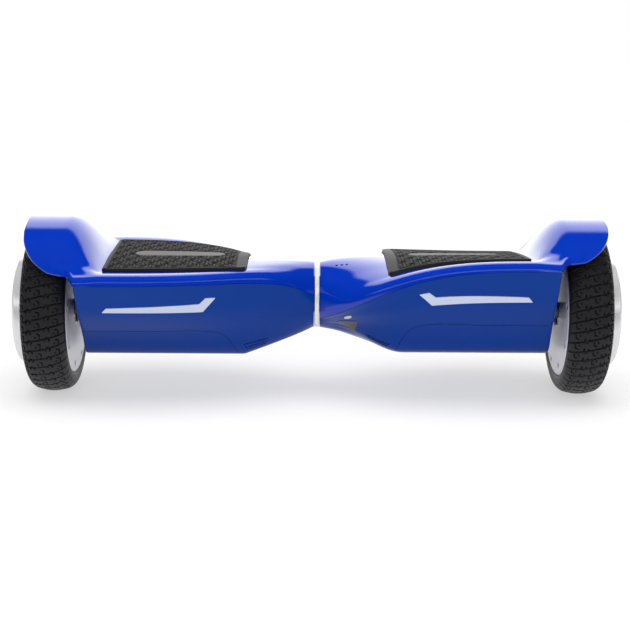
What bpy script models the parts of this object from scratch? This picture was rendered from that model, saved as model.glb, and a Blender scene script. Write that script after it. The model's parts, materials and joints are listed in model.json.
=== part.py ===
"""Self balancing hoverboard: two twisting deck halves, each carried by one hub motor wheel.

Lengths are in millimetres until a mesh is made, then in metres. The world origin is on the ground
under the middle of the pivot. +X points to the rider's right wheel, -Y to the front, +Z up.
Every half is described in its own frame: origin on the pivot axis, +X towards its wheel.
"""

import math

import bmesh
import bpy
from mathutils import Matrix, Vector

for leftover in list(bpy.data.objects):
    bpy.data.objects.remove(leftover, do_unlink=True)

MM = 0.001

# ---- driving dimensions, mm and degrees ----
TYRE_R = 82.55
TYRE_INNER_R = 65.0
TYRE_HALF_WIDTH = 20.3
TYRE_X = 257.3
TREAD_CROWN = 5.2
AXLE_DROP = 14.25
HALF_TILT = 4.75

RING_R = 32.3
RING_HALF_WIDTH = 2.25
SHELL_START_X = 2.9
SHELL_END_X = 224.5
JOINT_R = 32.5
FULL_TWIST = 26.5
TAPER_POWER = 3.6
WALL = 2.8
DECK_THICK = 6.4
THICKENING_X = (50.0, 64.0)
SIDE_POINTS = 4
SKIRT = 30.0
WELL_SKIRT = 90.0

FENDER_R = 90.5
FENDER_END_X = 277.5
FENDER_WALL = 3.0
FENDER_RISE_X = (199.5, 241.0)
FENDER_FILLET = 7.0
FLARE_END_DEG = 10.0
FLARE_POINTS = 3

COVER_SEAM_Z = -24.5
COVER_GAP = 0.35

TUBE_R = 15.0
TUBE_BORE_R = 12.0
TUBE_HALF_LENGTH = 62.0
SLEEVE_HALF_LENGTH = 10.5
BUSHING_X = (13.5, 60.5)
NECK_R = 18.0
NECK_CLEAR = 0.6
BOSS_R = 23.0
BUSHING_WALL = 2.3
CLAMP_TOP = -1.0
CLAMP_SCREW_X = 205.5
CLAMP_SCREW_Y = 17.0
SCREW_R = 3.0
SCREW_HEAD_R = 5.2
SCREW_SEGMENTS = 16

AXLE_R = 8.0
AXLE_X = (188.0, 285.0)
HUB_FACE_X = 236.7
HUB_CAP_X = 289.8
HUB_CAP_R = 54.0
HUB_LIP_R = 55.6
HUB_R = 64.4

PAD_X = (67.0, 201.5)
PAD_Y = 65.0
PAD_RISE = 3.3
PAD_POCKET = 3.2
PAD_BASE = 1.0
PAD_CLEAR = 0.6
PAD_NARROWING = 2.0
PAD_CORNER = 4.0
PATCH_STATIONS = 9
PATCH_LANES = 9
PLUNGER_X = (("a", 104.0), ("b", 165.0))
PLUNGER_R = 3.9

INDICATOR_X = (19.0, 24.0, 28.8)
INDICATOR_Y = -16.5
PIN_R = 0.9
PIN_SEGMENTS = 12
SPEAKER_X = 58.0
SPEAKER_DEG = 245.15

SEGMENTS = 36
FINE_SEGMENTS = 48
FEW_SEGMENTS = 24
SHARP_DEG = 40.0
EMPTY_SIZE = 0.02

# Top outline from the parting line to the middle of the deck, at the wheel end and at the joint.
TOP_OUTLINE = [
    (92.3, 30.0), (92.0, 33.0), (90.0, 36.3), (86.0, 38.2), (79.0, 38.6),
    (70.0, 37.2), (62.0, 36.8), (40.0, 37.2), (20.0, 37.5), (0.0, 37.5),
]
TOP_JOINT_DEG = [-14.6, -9, -3, 4, 13, 25, 35, 53, 72, 90]
FENDER_POLAR = [
    (102.4, 25.6), (103.0, 27.5), (101.0, 30.0), (96.4, 32.6), (93.0, 37.5),
    (91.0, 43.0), (90.5, 50.0), (90.5, 62.0), (90.5, 76.0), (90.5, 90.0),
]
# Bottom outline from the parting line to the keel.
LOW_OUTLINE = [
    (91.8, 29.2), (83.0, 13.5), (74.6, -0.5), (63.0, -13.5), (52.4, -24.5), (44.0, -35.5),
    (37.5, -46.0), (33.0, -51.0), (26.0, -54.0), (13.0, -54.0), (0.0, -54.0),
]
LOW_JOINT_DEG = [-15.6, -21, -27, -34, -41, -48, -55, -60, -66, -78, -90]
KNEE = 6
KEEL_BLEND = 8
LATE_KEEL_X = (14.0, 84.0)
EARLY_KEEL_X = (4.0, 70.0)
KEEL_POWER = 0.88
# Fender rim: how far round from the front the rim starts at each distance along the axle.
RIM = [
    (226.0, 27.0), (229.0, 30.0), (233.0, 32.3), (241.0, 33.6), (250.0, 35.5), (259.0, 39.5),
    (266.0, 44.0), (271.5, 50.0), (275.5, 57.0), (277.5, 66.0),
]
# Stations along X where the lofts have a row, for the outside and for the room inside.
DECK_ROWS = [
    SHELL_START_X, 12, 22, 34, 48, 64, 84, 108, 135, 165, 188, 200.5, 204, 208, 213, 218.5,
    SHELL_END_X,
]
LOW_ROWS = [SHELL_START_X, 10, 17, 25, 34, 44, 55, 70, 84, 110, 150, 190, SHELL_END_X]
ROOM_ROWS = [SHELL_START_X + 3, 22, 34, 48, 64, 108, 165, 203, 213, SHELL_END_X - 2.5]
LOW_ROOM_ROWS = [SHELL_START_X + 3, 17, 34, 55, 70, 84, 150, SHELL_END_X - 2.7]

PIVOT_Z = TYRE_R + AXLE_DROP * math.cos(math.radians(HALF_TILT))

RIGHT = Matrix.Translation((0, 0, PIVOT_Z * MM)) @ Matrix.Rotation(math.radians(-HALF_TILT), 4, "X")
WHOLE = Matrix.Translation((0, 0, PIVOT_Z * MM))
HALVES = {
    "right": RIGHT,
    "left": Matrix.Rotation(math.pi, 4, "Z") @ RIGHT,
}

# ---- collections and materials ----
scene = bpy.context.scene
parts = bpy.data.collections.new("self_balancing_hoverboard")
helpers = bpy.data.collections.new("construction_helpers")
scene.collection.children.link(parts)
scene.collection.children.link(helpers)


def material(name, color, metallic, roughness):
    made = bpy.data.materials.new(name)
    made.use_nodes = True
    shader = made.node_tree.nodes["Principled BSDF"]
    shader.inputs["Base Color"].default_value = (*color, 1)
    shader.inputs["Metallic"].default_value = metallic
    shader.inputs["Roughness"].default_value = roughness
    return made


GLOSS_BLUE = ((0.0, 0.03, 0.5), 0.1, 0.15)
LOWER_BLUE = ((0.01, 0.05, 0.3), 0.1, 0.2)
RUBBER = ((0.03, 0.03, 0.03), 0.0, 0.8)
ALUMINIUM = ((0.75, 0.76, 0.78), 1.0, 0.3)
STEEL = ((0.45, 0.46, 0.48), 1.0, 0.35)
IRON = ((0.2, 0.2, 0.22), 0.8, 0.6)
COPPER = ((0.7, 0.3, 0.12), 1.0, 0.35)
BOARD = ((0.02, 0.22, 0.08), 0.0, 0.5)
BLACK = ((0.02, 0.02, 0.02), 0.0, 0.4)
LENS = ((0.75, 0.82, 0.95), 0.0, 0.1)
NYLON = ((0.85, 0.84, 0.8), 0.0, 0.5)


# ---- mesh building ----
def finish(name, data, look, matrix, helper=False, smooth=True):
    """Puts a mesh into the scene as a named object with its own material."""
    obj = bpy.data.objects.new(name, data)
    (helpers if helper else parts).objects.link(obj)
    obj.matrix_world = matrix
    if helper:
        obj.hide_render = True
        obj.display_type = "WIRE"
    else:
        data.materials.append(material(name + "_finish", *look))
    if smooth:
        data.shade_smooth()
        data.set_sharp_from_angle(angle=math.radians(SHARP_DEG))
    return obj


def joint_empty(name, matrix, point, *pieces):
    """An empty on a joint's axis, at a point in mm, which carries the pieces that move with it."""
    empty = bpy.data.objects.new(name, None)
    parts.objects.link(empty)
    empty.empty_display_size = EMPTY_SIZE
    empty.matrix_world = matrix @ Matrix.Translation(Vector(point) * MM)
    bpy.context.view_layer.update()
    for piece in pieces:
        obj = bpy.data.objects[piece]
        place = obj.matrix_world.copy()
        obj.parent = empty
        obj.matrix_parent_inverse = empty.matrix_world.inverted()
        obj.matrix_world = place


def block(name, look, matrix, low, high, helper=False):
    """A box between two corners."""
    bm = bmesh.new()
    bmesh.ops.create_cube(bm, size=1.0)
    size = [(h - l) * MM for l, h in zip(low, high)]
    middle = [(h + l) / 2 * MM for l, h in zip(low, high)]
    bmesh.ops.scale(bm, vec=size, verts=bm.verts)
    bmesh.ops.translate(bm, vec=middle, verts=bm.verts)
    data = bpy.data.meshes.new(name)
    bm.to_mesh(data)
    bm.free()
    return finish(name, data, look, matrix, helper, smooth=False)


def rod(name, look, matrix, start, end, radius, helper=False, segments=FEW_SEGMENTS, end_radius=None):
    """A cylinder or a cone between two points."""
    a = Vector(start) * MM
    b = Vector(end) * MM
    bm = bmesh.new()
    top = radius if end_radius is None else end_radius
    bmesh.ops.create_cone(
        bm, cap_ends=True, segments=segments, radius1=radius * MM, radius2=top * MM,
        depth=(b - a).length,
    )
    turn = (b - a).to_track_quat("Z", "Y").to_matrix().to_4x4()
    bmesh.ops.transform(bm, matrix=Matrix.Translation((a + b) / 2) @ turn, verts=bm.verts)
    data = bpy.data.meshes.new(name)
    bm.to_mesh(data)
    bm.free()
    return finish(name, data, look, matrix, helper)


def turned(name, look, matrix, profile, z, helper=False, segments=SEGMENTS):
    """A body turned round the line along X at height z. The profile is a loop of (x, radius)."""
    data = bpy.data.meshes.new(name)
    pairs = list(zip(profile, profile[1:] + profile[:1]))
    if sum(a[1] * b[0] - b[1] * a[0] for a, b in pairs) > 0:
        profile = profile[::-1]
        pairs = list(zip(profile, profile[1:] + profile[:1]))
    points = [(r * MM, 0, x * MM) for x, r in profile]
    edges = [
        (k, (k + 1) % len(profile)) for k, (a, b) in enumerate(pairs) if a[1] > 0 or b[1] > 0
    ]
    data.from_pydata(points, edges, [])
    obj = finish(name, data, look, matrix, helper)
    along_x = Matrix.Translation((0, 0, z * MM)) @ Matrix.Rotation(math.pi / 2, 4, "Y")
    obj.matrix_world = matrix @ along_x
    screw = obj.modifiers.new("Turn", "SCREW")
    screw.axis = "Z"
    screw.steps = segments
    screw.render_steps = segments
    screw.use_merge_vertices = True
    screw.merge_threshold = 0.00001
    return obj


def loft(name, look, matrix, rows, helper=False, smooth=True):
    """A closed body through rows of points that run round the same way, with flat ends."""
    bm = bmesh.new()
    made = [[bm.verts.new((x * MM, y * MM, z * MM)) for x, y, z in row] for row in rows]
    count = len(rows[0])
    for first, second in zip(made, made[1:]):
        for k in range(count):
            n = (k + 1) % count
            bm.faces.new((first[k], first[n], second[n], second[k]))
    bm.faces.new(made[0][::-1])
    bm.faces.new(made[-1])
    bmesh.ops.recalc_face_normals(bm, faces=bm.faces)
    data = bpy.data.meshes.new(name)
    bm.to_mesh(data)
    bm.free()
    return finish(name, data, look, matrix, helper, smooth)


def boolean(obj, other, operation):
    made = obj.modifiers.new(operation.title(), "BOOLEAN")
    made.operation = operation
    made.solver = "EXACT"
    made.object = other


def cut(obj, *others):
    for other in others:
        boolean(obj, other, "DIFFERENCE")


def join(obj, *others):
    for other in others:
        boolean(obj, other, "UNION")


# ---- the body's sections ----
def turn_section(y, z, degrees):
    a = math.radians(degrees)
    return (y * math.cos(a) - z * math.sin(a), y * math.sin(a) + z * math.cos(a))


def smooth_step(value, low, high):
    t = min(1.0, max(0.0, (value - low) / (high - low)))
    return t * t * (3 - 2 * t)


def fullness(x):
    """0 at the round joint, 1 at the wheel end."""
    s = min(1.0, max(0.0, (SHELL_END_X - x) / (SHELL_END_X - SHELL_START_X)))
    return 1 - s ** TAPER_POWER


def keel_fullness(x, side):
    """The keel fills out later on the -Y side than on the +Y side."""
    if side < 0:
        return smooth_step(x, *LATE_KEEL_X)
    low, high = EARLY_KEEL_X
    return min(1.0, max(0.0, (x - low) / (high - low))) ** KEEL_POWER


def rise(x):
    """How far the slope from the deck to the fender has climbed: a fillet, then an easing climb."""
    low, high = FENDER_RISE_X
    length = high - low
    along = min(length, max(0.0, x - low))
    if along < FENDER_FILLET:
        return along * along / (length * FENDER_FILLET)
    left = (length - along) / (length - FENDER_FILLET)
    foot = FENDER_FILLET / length
    return foot + (1 - foot) * (1 - left * left)


def twist(x):
    return FULL_TWIST * (1 - fullness(x))


def rim_angle(x):
    """Where the fender's rim starts, in degrees up from the horizontal through the axle."""
    previous = (SHELL_END_X, FENDER_POLAR[0][1])
    for station in RIM:
        if x <= station[0]:
            t = (x - previous[0]) / (station[0] - previous[0])
            return previous[1] + t * (station[1] - previous[1])
        previous = station
    return previous[1]


def fender_point(x, index):
    """(distance to one side, height) on the fender."""
    radius, angle = FENDER_POLAR[index]
    start = FENDER_POLAR[0][1]
    lowest = rim_angle(x) if x > SHELL_END_X else start
    flare = max(0.0, 1 - (lowest - start) / FLARE_END_DEG)
    turned_to = math.radians(lowest + (angle - start) * (90 - lowest) / (90 - start))
    r = FENDER_R + (radius - FENDER_R) * flare
    return (r * math.cos(turned_to), r * math.sin(turned_to) - AXLE_DROP)


def top_point(x, side, index):
    """(y, z) on the upper shell: index 0 at the parting line, the last in the middle."""
    w = fullness(x)
    a = math.radians(TOP_JOINT_DEG[index])
    y = (1 - w) * JOINT_R * math.cos(a) + w * TOP_OUTLINE[index][0]
    z = (1 - w) * JOINT_R * math.sin(a) + w * TOP_OUTLINE[index][1]
    if x > FENDER_RISE_X[0]:
        share = rise(x)
        if x > SHELL_END_X:
            share += (1 - share) * max(0.0, 1 - index / FLARE_POINTS)
        fy, fz = fender_point(x, index)
        y += (fy - y) * share
        z += (fz - z) * share
    return turn_section(side * y, z, twist(x))


def low_point(x, side, index):
    """(y, z) on the lower shell: index 0 at the parting line, the last at the keel."""
    w = fullness(x)
    down = min(1.0, index / KNEE)
    b = keel_fullness(x, side)
    if index >= KEEL_BLEND:
        middle = (keel_fullness(x, -1) + keel_fullness(x, 1)) / 2
        b += (middle - b) * (index - KEEL_BLEND) / (len(LOW_OUTLINE) - 1 - KEEL_BLEND)
    full = w + (b - w) * down
    a = math.radians(LOW_JOINT_DEG[index])
    y = (1 - full) * JOINT_R * math.cos(a) + full * LOW_OUTLINE[index][0]
    z = (1 - full) * JOINT_R * math.sin(a) + full * LOW_OUTLINE[index][1]
    return turn_section(side * y, z, twist(x) * (1 - down))


def across(point, x, count):
    """The open row of points from the -Y side to the +Y side."""
    front = [point(x, -1, k) for k in range(count)]
    back = [point(x, 1, k) for k in range(count - 2, -1, -1)]
    return front + back


def inset_row(row, depths):
    """Moves each point of an open row inwards, square to the row."""
    moved = []
    last = len(row) - 1
    for k, (y, z) in enumerate(row):
        a = row[max(0, k - 1)]
        b = row[min(last, k + 1)]
        dy, dz = b[0] - a[0], b[1] - a[1]
        length = math.hypot(dy, dz)
        moved.append((y + dz / length * depths[k], z - dy / length * depths[k]))
    return moved


def skirted(x, row, drop):
    """Closes an open row into a loop by carrying both ends past the parting line."""
    (y0, z0), (y1, z1) = row[0], row[-1]
    loop = [(x, y0, z0 + drop)] + [(x, y, z) for y, z in row] + [(x, y1, z1 + drop)]
    return loop


TOP_COUNT = len(TOP_OUTLINE)
LOW_COUNT = len(LOW_OUTLINE)


def deck_height(x, y):
    """Height of the deck surface over a point of its plan."""
    row = across(top_point, x, TOP_COUNT)
    for a, b in zip(row, row[1:]):
        if a[0] <= y <= b[0] and b[0] > a[0]:
            return a[1] + (b[1] - a[1]) * (y - a[0]) / (b[0] - a[0])
    return row[TOP_COUNT - 1][1]


def deck_patch(name, look, matrix, grow, low, high, helper=False):
    """A slab that follows the deck inside the pad's outline, between two heights over the deck."""
    rows = []
    last = PATCH_STATIONS - 1
    for k in range(PATCH_STATIONS):
        t = k / last
        x = PAD_X[0] - grow + t * (PAD_X[1] - PAD_X[0] + 2 * grow)
        corner = PAD_CORNER if k in (0, last) else 0.0
        half = PAD_Y - PAD_NARROWING * (1 - t) + grow - corner
        ys = [half * (2 * n / (PATCH_LANES - 1) - 1) for n in range(PATCH_LANES)]
        top = [(x, y, deck_height(x, y) + high) for y in ys]
        under = [(x, y, deck_height(x, y) + low) for y in reversed(ys)]
        rows.append(top + under)
    return loft(name, look, matrix, rows, helper, smooth=False)


# ---- one half ----
def build_half(side, matrix):
    """Everything that both halves have. front is the half frame's sign of Y at the board's front."""
    front = -1 if side == "right" else 1
    tag = "_" + side
    build_upper_shell(tag, matrix)
    build_lower_shell(tag, matrix, front)
    build_pad(tag, matrix)
    build_frame(tag, matrix)
    build_wheel(tag, matrix)
    build_lights(tag, matrix, front)


def build_upper_shell(tag, matrix):
    rows = []
    for x in DECK_ROWS + [station for station, _ in RIM]:
        rows.append([(x, y, z) for y, z in across(top_point, x, TOP_COUNT)])
    shell = loft("upper_shell" + tag, GLOSS_BLUE, matrix, rows)

    inside = []
    for x in ROOM_ROWS:
        thick = WALL + (DECK_THICK - WALL) * smooth_step(x, *THICKENING_X)
        side_walls = [WALL] * SIDE_POINTS + [(WALL + thick) / 2]
        middle = [thick] * (2 * TOP_COUNT - 1 - 2 * len(side_walls))
        row = inset_row(across(top_point, x, TOP_COUNT), side_walls + middle + side_walls[::-1])
        inside.append(skirted(x, row, -SKIRT))
    room = loft("deck_room" + tag, None, matrix, inside, helper=True)

    well = []
    for x in [SHELL_END_X + 0.2] + [station for station, _ in RIM] + [FENDER_END_X + 12]:
        row = across(top_point, x, TOP_COUNT)
        well.append(skirted(x, inset_row(row, [FENDER_WALL] * len(row)), -WELL_SKIRT))
    arch = loft("wheel_well" + tag, None, matrix, well, helper=True)

    pocket = deck_patch("pad_pocket" + tag, None, matrix, PAD_CLEAR, -PAD_POCKET, 14.0, helper=True)
    cut(shell, room, arch, pocket)
    for name, x in PLUNGER_X:
        cut(shell, deck_hole("plunger_hole_" + name + tag, matrix, x, 0, PLUNGER_R + 0.5, FEW_SEGMENTS))
    if side_of(tag) == "right":
        for k, x in enumerate(INDICATOR_X):
            hole = deck_hole(f"indicator_hole_{k}", matrix, x, INDICATOR_Y, PIN_R + 0.4, PIN_SEGMENTS)
            cut(shell, hole)
    cut(shell, neck_room("neck_clear_top" + tag, matrix))


def deck_hole(name, matrix, x, y, radius, segments):
    """An upright hole through the deck."""
    return rod(name, None, matrix, (x, y, 10), (x, y, 50), radius, True, segments)


def neck_room(name, matrix):
    """The hole in a shell's round end that the neck passes through."""
    return rod(name, None, matrix, (-5, 0, 0), (11, 0, 0), NECK_R + NECK_CLEAR, True)


def cover_outline(grow):
    """The bottom cover's outline seen from the front, as (x, z)."""
    g = grow
    return [
        (74.0 - g, -70.0), (76.0 - g, -52.0), (81.0 - g, -41.0 + g), (87.0 - g, -31.5 + g),
        (94.0 - g, -26.3 + g), (104.0, COVER_SEAM_Z + g), (SHELL_END_X + 6, COVER_SEAM_Z + g),
        (SHELL_END_X + 6, -70.0),
    ]


def prism(name, matrix, outline, y_low, y_high):
    """An (x, z) outline carried through in Y."""
    rows = [[(x, y, z) for x, z in outline] for y in (y_low, y_high)]
    return loft(name, None, matrix, rows, helper=True, smooth=False)


def build_lower_shell(tag, matrix, front):
    outside = []
    for x in LOW_ROWS:
        outside.append([(x, y, z) for y, z in across(low_point, x, LOW_COUNT)])
    inside = []
    for x in LOW_ROOM_ROWS:
        row = across(low_point, x, LOW_COUNT)
        inside.append(skirted(x, inset_row(row, [-WALL] * len(row)), SKIRT))

    for name in ("lower_shell", "bottom_cover"):
        body = loft(name + tag, LOWER_BLUE, matrix, outside)
        room = loft(name + "_room" + tag, None, matrix, inside, helper=True)
        cut(body, room)
        region = prism(
            name + "_cover_region" + tag, matrix,
            cover_outline(COVER_GAP if name == "lower_shell" else 0.0), -120, 120,
        )
        boolean(body, region, "DIFFERENCE" if name == "lower_shell" else "INTERSECT")
        if name == "bottom_cover":
            continue
        neck = neck_room("neck_clear_low" + tag, matrix)
        axle_hole = rod(
            "axle_hole" + tag, None, matrix, (210, 0, -AXLE_DROP), (235, 0, -AXLE_DROP), 10.5, helper=True,
        )
        lens = lens_body("lens_window" + tag, None, matrix, front, 0.6, (-6.0, 8.0), helper=True)
        cut(body, neck, axle_hole, lens)
        if side_of(tag) == "right":
            cut(body, port_rod("port_hole", matrix, PORT_R + 0.4, -12.0, 14.0, helper=True))
            cut(body, button_rod("button_hole", matrix, BUTTON_R + 0.4, -12.0, 14.0, helper=True))


def side_of(tag):
    return tag[1:]


# ---- front light ----
# The lens along X: (x, upper edge, lower edge), both as places across the front face.
LENS_ROWS = [
    (95.0, 0.93, 0.96), (104.0, 0.93, 1.73), (107.0, 1.15, 2.0), (110.0, 1.36, 2.0),
    (150.0, 1.47, 1.97), (196.5, 1.6, 1.95), (200.5, 1.92, 1.95),
]
LENS_OUT = 0.5
LENS_DEPTH = 2.2


def face_point(x, place, out, sign):
    """A point over the lower shell: place counts outline points down from the parting line."""
    index = min(LOW_COUNT - 2, int(place))
    t = place - index
    a = low_point(x, sign, index)
    b = low_point(x, sign, index + 1)
    dy, dz = b[0] - a[0], b[1] - a[1]
    length = math.hypot(dy, dz)
    y = a[0] + dy * t - sign * dz / length * out
    z = a[1] + dz * t + sign * dy / length * out
    return (x, y, z)


def lens_body(name, look, matrix, front, grow, span, helper=False):
    """The lens follows the face. grow widens its outline, in mm."""
    places = grow / 17.0
    rows = []
    last = len(LENS_ROWS) - 1
    for k, (x, high, low) in enumerate(LENS_ROWS):
        along = x + (grow if k == last else -grow if k == 0 else 0)
        row = [face_point(along, high - places, out, front) for out in span]
        row += [face_point(along, low + places, out, front) for out in reversed(span)]
        rows.append(row)
    return loft(name, look, matrix, rows, helper, smooth=False)


def build_lights(tag, matrix, front):
    lens_body("headlight_lens" + tag, LENS, matrix, front, 0.0, (-LENS_DEPTH, LENS_OUT))
    rows = []
    for x in (100.0, 125.0, 160.0, 196.0):
        row = [face_point(x, 1.2, out, front) for out in (-6.6, -5.2)]
        rows.append(row + [face_point(x, 2.2, out, front) for out in (-5.2, -6.6)])
    loft("headlight_board" + tag, BOARD, matrix, rows, smooth=False)


# ---- foot pad ----
def build_pad(tag, matrix):
    deck_patch("foot_pad" + tag, RUBBER, matrix, 0.0, -PAD_BASE, PAD_RISE)
    for name, x in PLUNGER_X:
        top = deck_height(x, 0) - PAD_BASE - 0.3
        rod("pad_plunger_" + name + tag, NYLON, matrix, (x, 0, 29.0), (x, 0, top), PLUNGER_R, segments=16)
    block("sensor_board" + tag, BOARD, matrix, (88, -26, 23.0), (188, 26, 24.6))


# ---- frame ----
def helper_block(name, tag, matrix, low, high):
    return block(name + tag, None, matrix, low, high, helper=True)


def helper_rod(name, tag, matrix, start, end, radius, segments=FEW_SEGMENTS):
    return rod(name + tag, None, matrix, start, end, radius, True, segments)


def build_frame(tag, matrix):
    """A cast floor with the boss that holds the pivot tube and the block that holds the axle."""
    floor = -34.0
    top = -30.5
    frame = block("frame" + tag, ALUMINIUM, matrix, (76, -34, floor), (219, 34, top))
    seat = helper_block("axle_block", tag, matrix, (192, -24, -32), (219, 24, -AXLE_DROP - 0.2))
    boss = helper_rod("pivot_boss", tag, matrix, (13, 0, 0), (81, 0, 0), BOSS_R)
    web = helper_block("boss_web", tag, matrix, (76.5, -20, -33), (81.5, 20, 6))
    rib_a = helper_block("rib_a", tag, matrix, (77, -33.5, -32), (194, -30, -24.5))
    rib_b = helper_block("rib_b", tag, matrix, (77, 30, -32), (194, 33.5, -24.5))
    bore_r = TUBE_R + (BUSHING_WALL + 0.3 if side_of(tag) == "right" else 0.3)
    bore = helper_rod("boss_bore", tag, matrix, (5, 0, 0), (TUBE_HALF_LENGTH + 0.5, 0, 0), bore_r)
    cable_way = helper_rod("cable_way", tag, matrix, (50, 0, 0), (90, 0, 0), 7.0)
    axle_line = (180, 0, -AXLE_DROP), (230, 0, -AXLE_DROP)
    saddle = helper_rod("saddle", tag, matrix, *axle_line, AXLE_R + 0.3)
    join(frame, seat, boss, web, rib_a, rib_b)
    cut(frame, bore, saddle, cable_way)

    clamp = block("axle_clamp" + tag, ALUMINIUM, matrix, (194, -24, -AXLE_DROP + 0.3), (217, 24, CLAMP_TOP))
    cut(clamp, helper_rod("clamp_saddle", tag, matrix, *axle_line, AXLE_R + 0.3))
    for name, y in (("a", -CLAMP_SCREW_Y), ("b", CLAMP_SCREW_Y)):
        build_clamp_screw(name, tag, matrix, y, frame, clamp)


def build_clamp_screw(name, tag, matrix, y, frame, clamp):
    """A socket head screw through the clamp into the frame."""
    def at(z):
        return (CLAMP_SCREW_X, y, z)

    under = CLAMP_TOP + 0.3
    hole = helper_rod(f"clamp_hole_{name}", tag, matrix, at(-28.5), at(5), SCREW_R + 0.3, SCREW_SEGMENTS)
    cut(frame, hole)
    cut(clamp, hole)
    screw = rod(
        f"clamp_screw_{name}" + tag, STEEL, matrix, at(-27.5), at(under + 0.5), SCREW_R,
        segments=SCREW_SEGMENTS,
    )
    head = helper_rod(
        f"clamp_head_{name}", tag, matrix, at(under), at(under + 4.5), SCREW_HEAD_R, SCREW_SEGMENTS)
    socket = helper_rod(f"clamp_socket_{name}", tag, matrix, at(under + 1.8), at(under + 9), 2.4, 6)
    join(screw, head)
    cut(screw, socket)


# ---- wheel ----
BEARING_SEAT_R = 16.4
BEARING_WIDTH = 7.4
ROTOR_BORE_R = 60.0
MAGNET_THICK = 2.9
STATOR_X = (250.0, 266.0)
STATOR_R = 56.2
COIL_X = (247.2, 249.7)
COIL_R = (30.0, 52.0)


def build_wheel(tag, matrix):
    """A hub motor: tyre, rotor shell with its two covers, magnets and bearings round a fixed axle."""
    inner = TYRE_X - TYRE_HALF_WIDTH
    outer = TYRE_X + TYRE_HALF_WIDTH
    shoulder = TYRE_R - TREAD_CROWN

    def on_axle(name, look, profile, segments=SEGMENTS):
        return turned(name + tag, look, matrix, profile, -AXLE_DROP, segments=segments)

    on_axle("tyre", RUBBER, [
        (inner + 1.0, TYRE_INNER_R), (inner - 0.6, TYRE_INNER_R + 4), (inner - 0.4, TYRE_R - 9.5),
        (inner + 1.2, shoulder - 1.5), (inner + 4.5, shoulder + 1.6), (inner + 10, TYRE_R - 1.4),
        (TYRE_X, TYRE_R), (outer - 10, TYRE_R - 1.4), (outer - 4.5, shoulder + 1.6),
        (outer - 1.2, shoulder - 1.5), (outer + 0.4, TYRE_R - 9.5), (outer + 0.6, TYRE_INNER_R + 4),
        (outer - 1.0, TYRE_INNER_R),
    ], FINE_SEGMENTS)
    on_axle("rotor_shell", ALUMINIUM, [
        (HUB_FACE_X + 3.2, ROTOR_BORE_R), (HUB_FACE_X + 3.2, HUB_R), (outer + 0.2, HUB_R),
        (outer + 1.6, HUB_R - 1.6), (outer + 1.6, HUB_LIP_R), (outer - 2.5, HUB_LIP_R),
        (outer - 2.5, ROTOR_BORE_R),
    ])
    on_axle("rotor_cover", ALUMINIUM, [
        (HUB_FACE_X, 15.0), (HUB_FACE_X, 62.6), (HUB_FACE_X + 1.6, HUB_R), (HUB_FACE_X + 2.9, HUB_R),
        (HUB_FACE_X + 2.9, 20.0), (HUB_FACE_X + 9.0, 20.0), (HUB_FACE_X + 9.0, BEARING_SEAT_R),
        (HUB_FACE_X + 2.0, BEARING_SEAT_R), (HUB_FACE_X + 2.0, 15.0),
    ])
    on_axle("hub_cap", ALUMINIUM, [
        (HUB_CAP_X, 0.0), (HUB_CAP_X, HUB_CAP_R - 2.3), (HUB_CAP_X - 2.3, HUB_CAP_R),
        (outer - 2.2, HUB_CAP_R), (outer - 2.2, 20.0), (outer - 7.0, 20.0),
        (outer - 7.0, BEARING_SEAT_R), (outer + 2.0, BEARING_SEAT_R), (outer + 2.0, 14.0),
        (HUB_CAP_X - 3.0, 14.0), (HUB_CAP_X - 3.0, 0.0),
    ])
    magnet_r = ROTOR_BORE_R - 0.3
    on_axle("rotor_magnets", IRON, [
        (246, magnet_r - MAGNET_THICK), (246, magnet_r), (270, magnet_r), (270, magnet_r - MAGNET_THICK)])
    for name, x in (("inner", HUB_FACE_X + 2.3), ("outer", outer - 6.0)):
        far = x + BEARING_WIDTH
        low = AXLE_R + 0.1
        high = BEARING_SEAT_R - 0.3
        on_axle("wheel_bearing_" + name, STEEL, [(x, low), (x, high), (far, high), (far, low)], FEW_SEGMENTS)

    start, end = AXLE_X
    on_axle("motor_axle", STEEL, [
        (start, 0.0), (start, AXLE_R - 0.6), (start + 0.6, AXLE_R), (end - 0.6, AXLE_R),
        (end, AXLE_R - 0.6), (end, 0.0)], FEW_SEGMENTS)
    low, high = STATOR_X
    bore = AXLE_R + 0.3
    on_axle("stator_core", IRON, [(low, bore), (low, STATOR_R), (high, STATOR_R), (high, bore)])
    near, far = COIL_X
    low, high = COIL_R
    on_axle("stator_coils", COPPER, [(near, low), (near, high), (far, high), (far, low)])


# ---- parts of the rear face and the joint ----
REAR_PLACE = 2.5
PORT_X = 180.0
PORT_R = 10.0
CAP_R = 11.5
CAP_HINGE_OUT = 1.4
BUTTON_X = 138.0
BUTTON_R = 8.0


def rear_rod(name, look, matrix, x, radius, low, high, helper=False):
    """A rod square to the rear face, between two heights over it."""
    start = face_point(x, REAR_PLACE, low, 1)
    end = face_point(x, REAR_PLACE, high, 1)
    return rod(name, look, matrix, start, end, radius, helper)


def port_rod(name, matrix, radius, low, high, helper=False):
    return rear_rod(name, BLACK, matrix, PORT_X, radius, low, high, helper)


def button_rod(name, matrix, radius, low, high, helper=False):
    return rear_rod(name, ALUMINIUM, matrix, BUTTON_X, radius, low, high, helper)


def build_rear(matrix):
    """The charge port with its flip cap, and the power button."""
    port = port_rod("charge_port", matrix, PORT_R, -11.5, 0.9)
    cut(port, port_rod("port_recess", matrix, 7.6, -7.0, 6.0, helper=True))
    cap = port_rod("port_cap", matrix, CAP_R, 1.4, 3.6)
    join(cap, port_rod("cap_plug", matrix, 6.4, -3.5, 2.0, helper=True))
    button_rod("power_button", matrix, BUTTON_R, -5.0, 1.6)


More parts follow.
